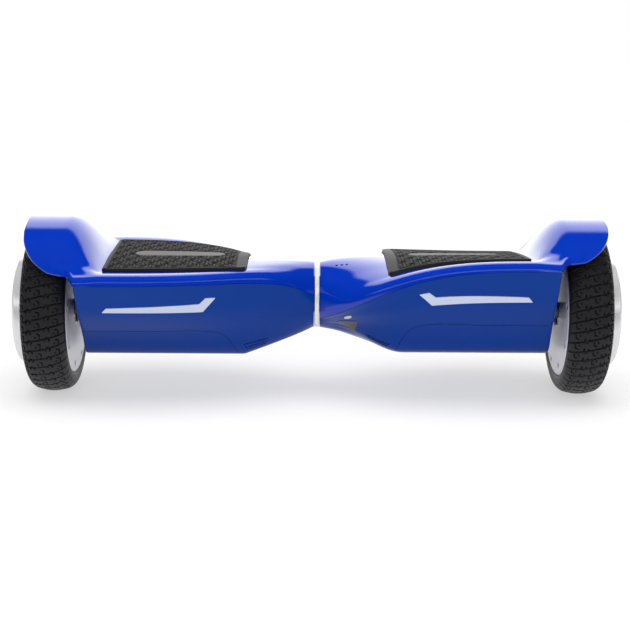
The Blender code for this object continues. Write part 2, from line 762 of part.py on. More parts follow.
def build_labels(matrix):
    """Two blank stickers under the right half, near the joint."""
    for name, look, xs, places in (
        ("rating_label", BLACK, (21.0, 25.0, 29.0, 33.0, 37.0), (3.6, 4.0, 5.0, 6.0, 7.0)),
        ("round_sticker", NYLON, (26.0, 28.0, 31.0, 33.0), (1.7, 2.0, 2.3)),
    ):
        rows = []
        for x in xs:
            row = [face_point(x, place, 0.35, -1) for place in places]
            rows.append(row + [face_point(x, place, 0.65, -1) for place in reversed(places)])
        loft(name, look, matrix, rows)


def build_indicator(matrix):
    """A strip of clear plastic with three pins that reach the deck's surface."""
    strip = block("indicator_lens", LENS, matrix, (17, -18.6, 18.4), (31.5, -14.4, 20.8))
    for k, x in enumerate(INDICATOR_X):
        top = deck_height(x, INDICATOR_Y) + 0.2
        foot = (x, INDICATOR_Y, 19)
        pin = rod(
            f"indicator_pin_{k}", None, matrix, foot, (x, INDICATOR_Y, top), PIN_R, True, PIN_SEGMENTS)
        join(strip, pin)


def build_joint():
    """The tube that the halves twist on, its sleeve and ring, and what the halves carry inside."""
    left = HALVES["left"]
    right = HALVES["right"]
    end = TUBE_HALF_LENGTH
    turned("pivot_tube", STEEL, WHOLE, [
        (-end, TUBE_BORE_R), (-end, TUBE_R), (end, TUBE_R), (end, TUBE_BORE_R)], 0,
        segments=FINE_SEGMENTS)
    end = SLEEVE_HALF_LENGTH
    bore = TUBE_R + 0.3
    turned("neck_sleeve", BLACK, WHOLE, [(-end, bore), (-end, NECK_R), (end, NECK_R), (end, bore)], 0)
    end = RING_HALF_WIDTH
    bore = NECK_R + 0.3
    turned("trim_ring", ALUMINIUM, WHOLE, [
        (-end, bore), (-end, RING_R - 0.6), (-end + 0.6, RING_R), (end - 0.6, RING_R),
        (end, RING_R - 0.6), (end, bore)], 0)
    near, far = BUSHING_X
    low = TUBE_R + 0.1
    high = TUBE_R + BUSHING_WALL
    turned("pivot_bushing", NYLON, right, [(near, low), (near, high), (far, high), (far, low)], 0,
           segments=FINE_SEGMENTS)
    block("battery_pack", BLACK, left, (83, -33, -23.5), (184, 33, 16))
    block("control_board", BOARD, right, (84, -28, -22.5), (180, 28, -20.5))
    rod("cable_loom", BLACK, WHOLE, (-78, 0, 0), (78, 0, 0), 4.5, segments=16)
    away = Vector((0, math.cos(math.radians(SPEAKER_DEG)), math.sin(math.radians(SPEAKER_DEG))))
    base = Vector((SPEAKER_X, 0, 0))
    rod("speaker", BLACK, right, base + away * 30.5, base + away * 38.0, 8.5)


WHEEL_PIECES = (
    "tyre", "rotor_shell", "rotor_cover", "hub_cap", "rotor_magnets", "wheel_bearing_inner",
    "wheel_bearing_outer",
)
PAD_PIECES = ("foot_pad", "pad_plunger_a", "pad_plunger_b")
FIXED_RIGHT = (
    "axle_clamp_right", "bottom_cover_right", "charge_port", "clamp_screw_a_right",
    "clamp_screw_b_right", "control_board", "frame_right", "headlight_board_right",
    "headlight_lens_right", "indicator_lens", "lower_shell_right", "motor_axle_right",
    "pivot_bushing", "rating_label", "round_sticker", "sensor_board_right", "speaker",
    "stator_coils_right", "stator_core_right", "upper_shell_right",
)


def build_joint_axes():
    """Every moving piece hangs from an empty on its joint's axis."""
    right = HALVES["right"]
    on_right = []
    for side, matrix in HALVES.items():
        wheel = "wheel_axis_" + side
        pad = "pad_axis_" + side
        joint_empty(wheel, matrix, (TYRE_X, 0, -AXLE_DROP), *(f"{name}_{side}" for name in WHEEL_PIECES))
        joint_empty(pad, matrix, (sum(PAD_X) / 2, 0, PAD_RISE), *(f"{name}_{side}" for name in PAD_PIECES))
        if side == "right":
            on_right += [wheel, pad]
    joint_empty("button_axis", right, face_point(BUTTON_X, REAR_PLACE, 0.0, 1), "power_button")
    hinge = face_point(PORT_X, REAR_PLACE, CAP_HINGE_OUT, 1)
    y0, z0 = low_point(PORT_X, 1, int(REAR_PLACE))
    y1, z1 = low_point(PORT_X, 1, int(REAR_PLACE) + 1)
    up = Vector((0, y0 - y1, z0 - z1)).normalized()
    joint_empty("cap_hinge", right, Vector(hinge) + up * CAP_R, "port_cap")
    joint_empty("pivot_axis", WHOLE, (0, 0, 0), *on_right, "button_axis", "cap_hinge", *FIXED_RIGHT)


for half_name, half_matrix in HALVES.items():
    build_half(half_name, half_matrix)
build_joint()
build_rear(HALVES["right"])
build_labels(HALVES["right"])
build_indicator(HALVES["right"])
build_joint_axes()
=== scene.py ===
"""Looks of the self balancing hoverboard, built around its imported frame.

Lengths are in millimetres until a mesh is made, then in metres. Each half is described in its own
frame: origin on the pivot axis, +X towards its wheel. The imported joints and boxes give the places.
"""

import json
import math

import bmesh
import bpy
import numpy as np
from mathutils import Matrix, Vector

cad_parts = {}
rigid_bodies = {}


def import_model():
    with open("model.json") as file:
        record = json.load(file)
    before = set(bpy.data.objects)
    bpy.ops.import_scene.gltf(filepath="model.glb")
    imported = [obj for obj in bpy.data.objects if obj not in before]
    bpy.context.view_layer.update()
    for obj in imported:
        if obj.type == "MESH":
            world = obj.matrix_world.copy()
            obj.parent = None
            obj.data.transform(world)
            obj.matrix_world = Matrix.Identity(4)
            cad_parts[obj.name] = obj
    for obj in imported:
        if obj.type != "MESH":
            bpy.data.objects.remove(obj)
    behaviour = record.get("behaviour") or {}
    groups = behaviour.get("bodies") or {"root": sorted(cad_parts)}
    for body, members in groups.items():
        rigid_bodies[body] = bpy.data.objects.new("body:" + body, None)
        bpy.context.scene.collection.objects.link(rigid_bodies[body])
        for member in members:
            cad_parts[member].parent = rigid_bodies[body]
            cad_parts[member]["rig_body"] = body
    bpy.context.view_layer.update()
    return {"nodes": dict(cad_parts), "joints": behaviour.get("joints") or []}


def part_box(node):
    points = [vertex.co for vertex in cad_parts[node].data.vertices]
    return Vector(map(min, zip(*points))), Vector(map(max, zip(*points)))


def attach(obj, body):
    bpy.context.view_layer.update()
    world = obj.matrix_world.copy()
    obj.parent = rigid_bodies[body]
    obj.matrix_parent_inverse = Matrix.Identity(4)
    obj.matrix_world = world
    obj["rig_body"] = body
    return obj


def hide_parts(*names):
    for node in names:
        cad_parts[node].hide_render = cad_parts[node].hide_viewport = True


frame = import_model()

MM = 0.001
DETAIL = 1.0

# ---- places read from the frame, mm ----
JOINTS = {joint["name"]: joint for joint in frame["joints"]}


def node_box(name):
    low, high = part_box(name)
    return Vector(low) / MM, Vector(high) / MM


def body_of(node):
    return frame["nodes"][node]["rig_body"]


WHEEL = Vector(JOINTS["wheel_spin_right"]["pos_m"]) / MM
PIVOT_Z = JOINTS["pivot_twist"]["pos_m"][2] / MM
PRESS = JOINTS["pad_press_right"]["axis"]
TILT = math.atan2(-PRESS[1], -PRESS[2])
TYRE_R = WHEEL.z
TYRE_X = WHEEL.x
AXLE_DROP = (PIVOT_Z - TYRE_R) / math.cos(TILT)
RING_HALF_WIDTH = node_box("trim_ring")[1].x
HUB_CAP_X = node_box("hub_cap_right")[1].x
HUB_FACE_X = node_box("rotor_cover_right")[0].x

RIGHT = Matrix.Translation((0, 0, PIVOT_Z * MM)) @ Matrix.Rotation(-TILT, 4, "X")
HALVES = {"right": RIGHT, "left": Matrix.Rotation(math.pi, 4, "Z") @ RIGHT}
WHOLE = Matrix.Translation((0, 0, PIVOT_Z * MM))

# ---- shape of the body ----
RING_R = 32.3
NECK_R = 18.0
NECK_CLEAR = 0.6
TUBE_R = 15.0
SHELL_START_X = 2.9
SHELL_END_X = 224.5
JOINT_R = 32.5
FULL_TWIST = 26.5
TAPER_POWER = 3.6
WALL = 2.8
DECK_THICK = 6.4
FENDER_R = 90.5
FENDER_END_X = 277.5
FENDER_RISE_X = (199.5, 241.0)
FENDER_FILLET = 7.0
FLARE_END_DEG = 10.0
FLARE_POINTS = 3
COVER_SEAM_Z = -24.5
COVER_GAP = 0.35
HUB_R = 64.4
HUB_CAP_R = 54.0
HUB_LIP_R = 55.6
AXLE_HOLE_R = 10.5
TYRE_HALF_WIDTH = 20.3
TYRE_LOW_X = TYRE_X - TYRE_HALF_WIDTH
TYRE_HIGH_X = TYRE_X + TYRE_HALF_WIDTH

PAD_X = (67.0, 201.5)
PAD_Y = 65.0
PAD_RISE = 3.3
PAD_POCKET = 3.2
PAD_BASE = 1.0
PAD_CLEAR = 0.6
PAD_NARROWING = 2.0
PLUNGER_X = (104.0, 165.0)
PLUNGER_HOLE_R = 4.4

INDICATOR_X = (19.0, 24.0, 28.8)
INDICATOR_Y = -16.5
INDICATOR_HOLE_R = 1.3
INDICATOR_PIN_R = 0.95
PORT_X = 180.0
PORT_HOLE_R = 10.4
BUTTON_X = 138.0
BUTTON_HOLE_R = 8.4
REAR_PLACE = 2.5
FRONT = {"right": -1, "left": 1}

TOP_OUTLINE = [
    (92.3, 30.0), (92.0, 33.0), (90.0, 36.3), (86.0, 38.2), (79.0, 38.6),
    (70.0, 37.2), (62.0, 36.8), (40.0, 37.2), (20.0, 37.5), (0.0, 37.5),
]
TOP_JOINT_DEG = [-14.6, -9, -3, 4, 13, 25, 35, 53, 72, 90]
FENDER_POLAR = [
    (102.4, 25.6), (103.0, 27.5), (101.0, 30.0), (96.4, 32.6), (93.0, 37.5),
    (91.0, 43.0), (90.5, 50.0), (90.5, 62.0), (90.5, 76.0), (90.5, 90.0),
]
LOW_OUTLINE = [
    (91.8, 29.2), (83.0, 13.5), (74.6, -0.5), (63.0, -13.5), (52.4, -24.5), (44.0, -35.5),
    (37.5, -46.0), (33.0, -51.0), (26.0, -54.0), (13.0, -54.0), (0.0, -54.0),
]
LOW_JOINT_DEG = [-15.6, -21, -27, -34, -41, -48, -55, -60, -66, -78, -90]
KNEE = 6
KEEL_BLEND = 8
LATE_KEEL_X = (14.0, 84.0)
EARLY_KEEL_X = (4.0, 70.0)
KEEL_POWER = 0.88
RIM = [
    (SHELL_END_X, 25.6), (226.0, 27.0), (229.0, 30.0), (233.0, 32.3), (241.0, 33.6), (250.0, 35.5),
    (259.0, 39.5), (266.0, 44.0), (271.5, 50.0), (275.5, 57.0), (277.5, 66.0),
]
# The light's window along X: (x, upper edge, lower edge), as places across the front face.
LENS_ROWS = [
    (95.0, 0.93, 0.96), (104.0, 0.93, 1.73), (107.0, 1.15, 2.0), (110.0, 1.36, 2.0),
    (150.0, 1.47, 1.97), (196.5, 1.6, 1.95), (200.5, 1.92, 1.95),
]
TOP_STEPS = [2, 3, 3, 4, 5, 4, 7, 6, 6]
LOW_STEPS = [6, 5, 6, 5, 5, 5, 3, 4, 5, 5]


# ---- meshes ----
def fine(count):
    return max(2, round(count * DETAIL))


def placed(name, data):
    obj = bpy.data.objects.new(name, data)
    bpy.context.scene.collection.objects.link(obj)
    return obj


def mesh_object(name, points, faces, matrix, sharp=38.0):
    """An object from points in mm of a half's frame."""
    data = bpy.data.meshes.new(name)
    data.from_pydata((np.asarray(points, float) * MM).tolist(), [], faces)
    bm = bmesh.new()
    bm.from_mesh(data)
    bmesh.ops.recalc_face_normals(bm, faces=bm.faces)
    bm.to_mesh(data)
    bm.free()
    data.transform(matrix)
    data.shade_smooth()
    data.set_sharp_from_angle(angle=math.radians(sharp))
    return placed(name, data)


def quads(first, second, wrap=False):
    """Faces between two lines of point numbers."""
    a = np.asarray(first)
    b = np.asarray(second)
    if wrap:
        a = np.append(a, a[:1])
        b = np.append(b, b[:1])
    return np.stack([a[:-1], a[1:], b[1:], b[:-1]], axis=1).tolist()


def skin(name, outer, inner, matrix, lip=0.35, sharp=38.0):
    """A closed skin between two grids of points of one size, with a rounded lip round its edge."""
    outer = np.asarray(outer, float)
    inner = np.asarray(inner, float)
    rows, cols = outer.shape[:2]
    over = np.arange(rows * cols).reshape(rows, cols)
    under = over + rows * cols
    faces = []
    for k in range(rows - 1):
        faces += quads(over[k], over[k + 1])
        faces += quads(under[k + 1], under[k])
    r = np.concatenate([
        np.zeros(cols - 1, int), np.arange(rows - 1),
        np.full(cols - 1, rows - 1), np.arange(rows - 1, 0, -1)])
    c = np.concatenate([
        np.arange(cols - 1), np.full(rows - 1, cols - 1),
        np.arange(cols - 1, 0, -1), np.zeros(rows - 1, int)])
    away = outer[r, c] - outer[np.clip(r, 1, rows - 2), np.clip(c, 1, cols - 2)]
    away /= np.linalg.norm(away, axis=1)[:, None] + 1e-9
    thick = np.linalg.norm(outer[r, c] - inner[r, c], axis=1)[:, None]
    middle = (outer[r, c] + inner[r, c]) / 2 + away * thick * lip
    lips = np.arange(len(r)) + 2 * rows * cols
    faces += quads(over[r, c], lips, wrap=True)
    faces += quads(lips, under[r, c], wrap=True)
    points = np.concatenate([outer.reshape(-1, 3), inner.reshape(-1, 3), middle])
    return mesh_object(name, points, faces, matrix, sharp)


def loft(name, rows, matrix, sharp=38.0):
    """A closed body through loops of points, with flat ends."""
    rows = np.asarray(rows, float)
    count, around = rows.shape[:2]
    index = np.arange(count * around).reshape(count, around)
    faces = [index[0][::-1].tolist(), index[-1].tolist()]
    for k in range(count - 1):
        faces += quads(index[k], index[k + 1], wrap=True)
    return mesh_object(name, rows.reshape(-1, 3), faces, matrix, sharp)


def lathe(name, profile, matrix, z=0.0, segments=96, sharp=30.0, shift=None):
    """A body turned round the line along X at height z. The profile is a loop of (x, radius).
    shift(point number, angles) moves a point's radius inwards by the value it returns."""
    profile = np.asarray(profile, float)
    angles = np.arange(segments) * 2 * math.pi / segments
    x = np.repeat(profile[:, :1], segments, axis=1)
    radius = np.repeat(profile[:, 1:], segments, axis=1)
    if shift is not None:
        radius = radius - shift(np.arange(len(profile)), angles)
    y = radius * np.cos(angles)
    points = np.stack([x, y, radius * np.sin(angles) + z], axis=-1)
    index = np.arange(x.size).reshape(x.shape)
    faces = []
    for k in range(len(profile)):
        faces += quads(index[k - 1], index[k], wrap=True)
    made = mesh_object(name, points.reshape(-1, 3), faces, matrix, sharp)
    if (profile[:, 1] < 1e-6).any():
        bm = bmesh.new()
        bm.from_mesh(made.data)
        bmesh.ops.remove_doubles(bm, verts=bm.verts, dist=1e-7)
        bmesh.ops.dissolve_degenerate(bm, edges=bm.edges, dist=1e-8)
        bm.to_mesh(made.data)
        bm.free()
    return made


def rounded(profile, radius, steps=3):
    """A loop of (x, radius) with its corners cut to arcs. A corner on the axis stays."""
    made = []
    count = len(profile)
    for k, point in enumerate(profile):
        p = Vector(point)
        if p.y < 1e-6:
            made.append(tuple(p))
            continue
        a = Vector(profile[k - 1]) - p
        b = Vector(profile[(k + 1) % count]) - p
        reach = min(radius, a.length * 0.45, b.length * 0.45)
        start = p + a.normalized() * reach
        end = p + b.normalized() * reach
        for n in range(steps + 1):
            t = n / steps
            made.append(tuple(start * (1 - t) ** 2 + p * 2 * t * (1 - t) + end * t * t))
    return made


def cylinder_points(start, end, radius, sides, end_radius=None):
    """The two rings of a rod between two points."""
    start = Vector(start)
    end = Vector(end)
    turn = (end - start).to_track_quat("Z", "Y")
    rings = []
    for centre, r in ((start, radius), (end, radius if end_radius is None else end_radius)):
        rings.append([
            centre + turn @ Vector((r * math.cos(a), r * math.sin(a), 0))
            for a in (2 * math.pi * k / sides for k in range(sides))])
    return rings


def rods(name, wanted, matrix, sharp=38.0):
    """One mesh of separate rods: (start, end, radius, sides) or with an end radius."""
    points = []
    faces = []
    for start, end, radius, sides, *more in wanted:
        base = len(points)
        for ring in cylinder_points(start, end, radius, sides, *more):
            points += [tuple(p) for p in ring]
        first = np.arange(sides) + base
        faces += quads(first, first + sides, wrap=True)
        faces += [first[::-1].tolist(), (first + sides).tolist()]
    return mesh_object(name, points, faces, matrix, sharp)


def carve(obj, other, operation="DIFFERENCE", sharp=38.0):
    """Cuts obj with the other mesh, which is then removed."""
    made = obj.modifiers.new("Carve", "BOOLEAN")
    made.operation = operation
    made.solver = "MANIFOLD"
    made.object = other
    graph = bpy.context.evaluated_depsgraph_get()
    data = bpy.data.meshes.new_from_object(obj.evaluated_get(graph))
    if not data.polygons:
        raise ValueError(f"{obj.name}: the cut by {other.name} left nothing")
    obj.modifiers.clear()
    obj.data = data
    data.shade_smooth()
    data.set_sharp_from_angle(angle=math.radians(sharp))
    bpy.data.objects.remove(other, do_unlink=True)
    return obj


def twin(obj, name):
    return placed(name, obj.data.copy())


def dress(obj, material, *nodes, body=None):
    """Gives a piece its material, slot and body, and lets it stand for CAD nodes."""
    obj.data.materials.clear()
    obj.data.materials.append(material)
    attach(obj, body or body_of(nodes[0]))
    if nodes:
        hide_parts(*nodes)


# ---- the body's sections ----
def spline(points, steps):
    """A smooth line through the points, with that many steps in each stretch."""
    p = np.asarray(points, float)
    h = np.linalg.norm(np.diff(p, axis=0), axis=1)[:, None] + 1e-9
    slope = np.diff(p, axis=0) / h
    tangent = np.concatenate([slope[:1], slope, slope[-1:]])
    tangent = (tangent[:-1] * np.append(h, h[-1:], 0) + tangent[1:] * np.append(h[:1], h, 0))
    tangent /= np.append(h, h[-1:], 0) + np.append(h[:1], h, 0)
    line = []
    for k, count in enumerate(steps):
        t = np.arange(count)[:, None] / count
        line.append(
            (2 * t**3 - 3 * t**2 + 1) * p[k] + (t**3 - 2 * t**2 + t) * h[k] * tangent[k]
            + (3 * t**2 - 2 * t**3) * p[k + 1] + (t**3 - t**2) * h[k] * tangent[k + 1])
    line.append(p[-1:])
    return np.concatenate(line)


def smooth_step(value, low, high):
    t = np.clip((value - low) / (high - low), 0.0, 1.0)
    return t * t * (3 - 2 * t)


def turn_section(y, z, degrees):
    a = math.radians(degrees)
    return (y * math.cos(a) - z * math.sin(a), y * math.sin(a) + z * math.cos(a))


def fullness(x):
    """0 at the round joint, 1 at the wheel end."""
    s = min(1.0, max(0.0, (SHELL_END_X - x) / (SHELL_END_X - SHELL_START_X)))
    return 1 - s ** TAPER_POWER


def keel_fullness(x, side):
    """The keel fills out later on the -Y side than on the +Y side."""
    if side < 0:
        return float(smooth_step(x, *LATE_KEEL_X))
    low, high = EARLY_KEEL_X
    return min(1.0, max(0.0, (x - low) / (high - low))) ** KEEL_POWER


def rise(x):
    """How far the slope from the deck to the fender has climbed: a fillet, then an easing climb."""
    low, high = FENDER_RISE_X
    length = high - low
    along = min(length, max(0.0, x - low))
    if along < FENDER_FILLET:
        return along * along / (length * FENDER_FILLET)
    left = (length - along) / (length - FENDER_FILLET)
    foot = FENDER_FILLET / length
    return foot + (1 - foot) * (1 - left * left)


def twist(x):
    return FULL_TWIST * (1 - fullness(x))


RIM_LINE = spline(RIM, [12] * (len(RIM) - 1))


def rim_angle(x):
    """Where the fender's rim starts, in degrees up from the horizontal through the axle."""
    return float(np.interp(x, RIM_LINE[:, 0], RIM_LINE[:, 1]))


def fender_point(x, index):
    """(distance to one side, height) on the fender."""
    radius, angle = FENDER_POLAR[index]
    start = FENDER_POLAR[0][1]
    lowest = rim_angle(x) if x > SHELL_END_X else start
    flare = max(0.0, 1 - (lowest - start) / FLARE_END_DEG)
    a = math.radians(lowest + (angle - start) * (90 - lowest) / (90 - start))
    r = FENDER_R + (radius - FENDER_R) * flare
    return (r * math.cos(a), r * math.sin(a) - AXLE_DROP)


def top_point(x, side, index):
    """(y, z) on the upper shell: index 0 at the parting line, the last in the middle."""
    w = fullness(x)
    a = math.radians(TOP_JOINT_DEG[index])
    y = (1 - w) * JOINT_R * math.cos(a) + w * TOP_OUTLINE[index][0]
    z = (1 - w) * JOINT_R * math.sin(a) + w * TOP_OUTLINE[index][1]
    if x > FENDER_RISE_X[0]:
        share = rise(x)
        if x > SHELL_END_X:
            share += (1 - share) * max(0.0, 1 - index / FLARE_POINTS)
        fy, fz = fender_point(x, index)
        y += (fy - y) * share
        z += (fz - z) * share
    return turn_section(side * y, z, twist(x))


def low_point(x, side, index):
    """(y, z) on the lower shell: index 0 at the parting line, the last at the keel."""
    w = fullness(x)
    down = min(1.0, index / KNEE)
    b = keel_fullness(x, side)
    if index >= KEEL_BLEND:
        middle = (keel_fullness(x, -1) + keel_fullness(x, 1)) / 2
        b += (middle - b) * (index - KEEL_BLEND) / (len(LOW_OUTLINE) - 1 - KEEL_BLEND)
    full = w + (b - w) * down
    a = math.radians(LOW_JOINT_DEG[index])
    y = (1 - full) * JOINT_R * math.cos(a) + full * LOW_OUTLINE[index][0]
    z = (1 - full) * JOINT_R * math.sin(a) + full * LOW_OUTLINE[index][1]
    return turn_section(side * y, z, twist(x) * (1 - down))


def row_of(point, x, count, steps):
    """The smooth open row of points from the -Y side to the +Y side."""
    controls = [point(x, -1, k) for k in range(count)]
    controls += [point(x, 1, k) for k in range(count - 2, -1, -1)]
    steps = [fine(n) for n in steps]
    return spline(controls, steps + steps[::-1])


def top_row(x):
    return row_of(top_point, x, len(TOP_OUTLINE), TOP_STEPS)


def low_row(x):
    return row_of(low_point, x, len(LOW_OUTLINE), LOW_STEPS)


def inset(row, depth):
    """The row moved square to itself by depth: downwards where it runs towards +Y."""
    along = np.gradient(row, axis=0)
    along /= np.linalg.norm(along, axis=1)[:, None]
    square = np.stack([along[:, 1], -along[:, 0]], axis=1)
    return row + square * np.reshape(depth, (-1, 1))


def at(x, row):
    return np.concatenate([np.full((len(row), 1), x), row], axis=1)


def stations(low, high, step, power=1.0):
    """Places along X from low to high. A power over 1 packs them near low."""
    count = max(3, round((high - low) / step * DETAIL))
    return low + (high - low) * (np.arange(count + 1) / count) ** power


SHELL_STEP = 2.0
SHELL_PACKING = 1.25
DECK_X = stations(SHELL_START_X, SHELL_END_X, SHELL_STEP, SHELL_PACKING)
DECK_ROWS = [top_row(x) for x in DECK_X]


def deck_height(x, y):
    """Height of the deck over points of its plan, for arrays of one shape."""
    x = np.asarray(x, float)
    y = np.asarray(y, float)
    grid_y = np.linspace(-92, 92, 185)
    table = np.array([np.interp(grid_y, row[:, 0], row[:, 1]) for row in DECK_ROWS])
    u = np.interp(x, DECK_X, np.arange(len(DECK_X)))
    v = np.interp(y, grid_y, np.arange(len(grid_y)))
    i = np.clip(u.astype(int), 0, len(DECK_X) - 2)
    j = np.clip(v.astype(int), 0, len(grid_y) - 2)
    fu = u - i
    fv = v - j
    near = table[i, j] * (1 - fv) + table[i, j + 1] * fv
    far = table[i + 1, j] * (1 - fv) + table[i + 1, j + 1] * fv
    return near * (1 - fu) + far * fu


def face_point(x, place, out, side):
    """A point over the lower shell: place counts outline points down from the parting line."""
    index = min(len(LOW_OUTLINE) - 2, int(place))
    row = low_row(x)
    steps = [fine(n) for n in LOW_STEPS]
    number = sum(steps[:index]) + (place - index) * steps[index]
    if side > 0:
        number = len(row) - 1 - number
    y, z = [float(np.interp(number, np.arange(len(row)), row[:, k])) for k in (0, 1)]
    k = int(np.clip(round(number), 1, len(row) - 2))
    dy, dz = row[k + 1] - row[k - 1]
    length = math.hypot(dy, dz)
    return (x, y + dz / length * out, z - dy / length * out)


# ---- materials ----
def node(tree, kind, **settings):
    made = tree.nodes.new(kind)
    for key, value in settings.items():
        if key in made.inputs:
            made.inputs[key].default_value = value
        else:
            setattr(made, key, value)
    return made


def spread(tree, source, low, high):
    """Maps a 0 to 1 value to the range low to high."""
    made = node(tree, "ShaderNodeMapRange")
    made.inputs["To Min"].default_value = low
    made.inputs["To Max"].default_value = high
    tree.links.new(source, made.inputs["Value"])
    return made.outputs["Result"]


def math_of(tree, operation, first, second):
    made = node(tree, "ShaderNodeMath", operation=operation)
    for socket, value in zip(made.inputs, (first, second)):
        if isinstance(value, float):
            socket.default_value = value
        else:
            tree.links.new(value, socket)
    return made.outputs[0]


def finish_of(
    name, color, roughness, metallic=0.0, tint=0.06, grain=900.0, bump=0.0, stretch=(1, 1, 1),
    rough_spread=0.06, coat=0.0, coat_roughness=0.04, specular=0.5, glow=0.0,
    glow_color=(1, 1, 1),
):
    """A procedural finish: colour and roughness vary with noise, and a fine noise is the grain.
    grain counts features per metre, bump is its height in mm, stretch squeezes it along an axis."""
    made = bpy.data.materials.new(name)
    made.use_nodes = True
    tree = made.node_tree
    link = tree.links.new
    shader = tree.nodes["Principled BSDF"]
    place = node(tree, "ShaderNodeTexCoord")
    shape = node(tree, "ShaderNodeMapping")
    shape.inputs["Scale"].default_value = stretch
    link(place.outputs["Object"], shape.inputs["Vector"])
    broad = node(tree, "ShaderNodeTexNoise", Scale=24.0, Detail=4.0)
    small = node(tree, "ShaderNodeTexNoise", Scale=grain, Detail=3.0)
    link(place.outputs["Object"], broad.inputs["Vector"])
    link(shape.outputs["Vector"], small.inputs["Vector"])
    mix = node(tree, "ShaderNodeMix", data_type="RGBA")
    dark = [c * (1 - tint) for c in color]
    light = [min(1.0, c * (1 + tint)) for c in color]
    mix.inputs["A"].default_value = (*dark, 1)
    mix.inputs["B"].default_value = (*light, 1)
    blend = math_of(
        tree, "ADD", math_of(tree, "MULTIPLY", broad.outputs["Fac"], 0.6),
        math_of(tree, "MULTIPLY", small.outputs["Fac"], 0.4))
    link(blend, mix.inputs["Factor"])
    link(mix.outputs["Result"], shader.inputs["Base Color"])
    rough = spread(tree, blend, max(0.02, roughness - rough_spread), roughness + rough_spread)
    link(rough, shader.inputs["Roughness"])
    shader.inputs["Metallic"].default_value = metallic
    shader.inputs["Specular IOR Level"].default_value = specular
    shader.inputs["Coat Weight"].default_value = coat
    shader.inputs["Coat Roughness"].default_value = coat_roughness
    if bump:
        relief = node(tree, "ShaderNodeBump", Distance=bump * MM, Strength=1.0)
        link(small.outputs["Fac"], relief.inputs["Height"])
        link(relief.outputs["Normal"], shader.inputs["Normal"])
    if glow:
        shader.inputs["Emission Color"].default_value = (*glow_color, 1)
        shader.inputs["Emission Strength"].default_value = glow
    return made


PAINT = finish_of(
    "gloss_blue_paint", (0.0, 0.032, 0.44), 0.12, tint=0.05, grain=1800, bump=0.0006,
    rough_spread=0.03, coat=1.0, coat_roughness=0.03, specular=0.15)
# Lower shell and bottom cover: a copy of the blue paint that is rougher and has no coat. Its darker
# blue is painted shade for the faces that turn down away from the light.
PAINT_LOW_SHADED = finish_of(
    "satin_blue_paint_with_painted_shade", (0.0, 0.042, 0.30), 0.18, tint=0.05, grain=1800, bump=0.0006,
    rough_spread=0.04, specular=0.15)
RUBBER = finish_of(
    "tyre_rubber", (0.011, 0.011, 0.013), 0.5, tint=0.12, grain=1400, bump=0.012,
    rough_spread=0.08, specular=0.4)
PAD = finish_of(
    "pad_rubber", (0.016, 0.015, 0.015), 0.5, tint=0.15, grain=2200, bump=0.008,
    rough_spread=0.08, specular=0.22)
PLAQUE = finish_of(
    "pad_plaque", (0.085, 0.078, 0.074), 0.5, tint=0.1, grain=2600, bump=0.004, specular=0.4)
POLISHED = finish_of(
    "polished_aluminium", (0.93, 0.93, 0.94), 0.24, metallic=0.4, tint=0.02, grain=160,
    rough_spread=0.02, stretch=(6, 1, 1), bump=0.0001)
CAST = finish_of(
    "painted_aluminium", (0.96, 0.95, 0.96), 0.3, metallic=0.25, tint=0.02, grain=1500,
    rough_spread=0.04, bump=0.001)
BRUSHED = finish_of(
    "brushed_ring", (0.96, 0.96, 0.97), 0.34, metallic=0.35, tint=0.02, grain=700,
    stretch=(12, 1, 1), rough_spread=0.04, bump=0.0003)
MACHINED = finish_of(
    "machined_aluminium", (0.62, 0.63, 0.65), 0.34, metallic=1.0, tint=0.08, grain=700,
    stretch=(1, 5, 1), bump=0.003)
STEEL = finish_of("steel", (0.42, 0.43, 0.45), 0.3, metallic=1.0, tint=0.1, grain=900, bump=0.002)
IRON = finish_of("motor_iron", (0.12, 0.12, 0.13), 0.55, metallic=0.8, tint=0.15, bump=0.006)
COPPER = finish_of(
    "copper_wire", (0.62, 0.24, 0.09), 0.32, metallic=1.0, tint=0.2, grain=700,
    stretch=(1, 1, 4), bump=0.05)
BOARD = finish_of("circuit_board", (0.015, 0.13, 0.05), 0.4, tint=0.3, grain=350, bump=0.01)
LENS = finish_of(
    "light_lens", (0.52, 0.58, 0.74), 0.18, tint=0.04, grain=500, bump=0.002, coat=1.0,
    glow=0.12, glow_color=(0.62, 0.74, 1.0))
NYLON = finish_of("white_plastic", (0.74, 0.73, 0.70), 0.45, tint=0.04, grain=1200, bump=0.003)
BLACK = finish_of("black_plastic", (0.018, 0.018, 0.02), 0.4, tint=0.2, grain=1500, bump=0.006)
LABEL = finish_of(
    "label_film", (0.03, 0.034, 0.05), 0.35, tint=0.15, grain=500, bump=0.002, coat=0.2)

CARRIED = {
    "axle_clamp": MACHINED, "battery_pack": BLACK, "cable_loom": BLACK, "clamp_screw": STEEL,
    "control_board": BOARD, "frame": MACHINED, "headlight_board": BOARD, "motor_axle": STEEL,
    "pad_plunger": NYLON, "pivot_bushing": NYLON, "pivot_tube": STEEL, "rotor_magnets": IRON,
    "sensor_board": BOARD, "speaker": BLACK, "stator_coils": COPPER, "stator_core": IRON,
    "wheel_bearing": STEEL,
}


def finish_carried_nodes():
    """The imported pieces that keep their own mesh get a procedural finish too."""
    for name, obj in frame["nodes"].items():
        for start, material in CARRIED.items():
            if name.startswith(start):
                obj.data.materials.clear()
                obj.data.materials.append(material)


# ---- shells ----
END_ROUND = 2.2
THICK_DECK_SHARE = 0.72
FENDER_STEP = 1.5
POCKET_LINES = 40
POCKET_REACH = 14.0


def neck_row(x, row):
    """The row drawn in to the hole round the neck."""
    return at(x, row * (NECK_R + NECK_CLEAR) / JOINT_R)


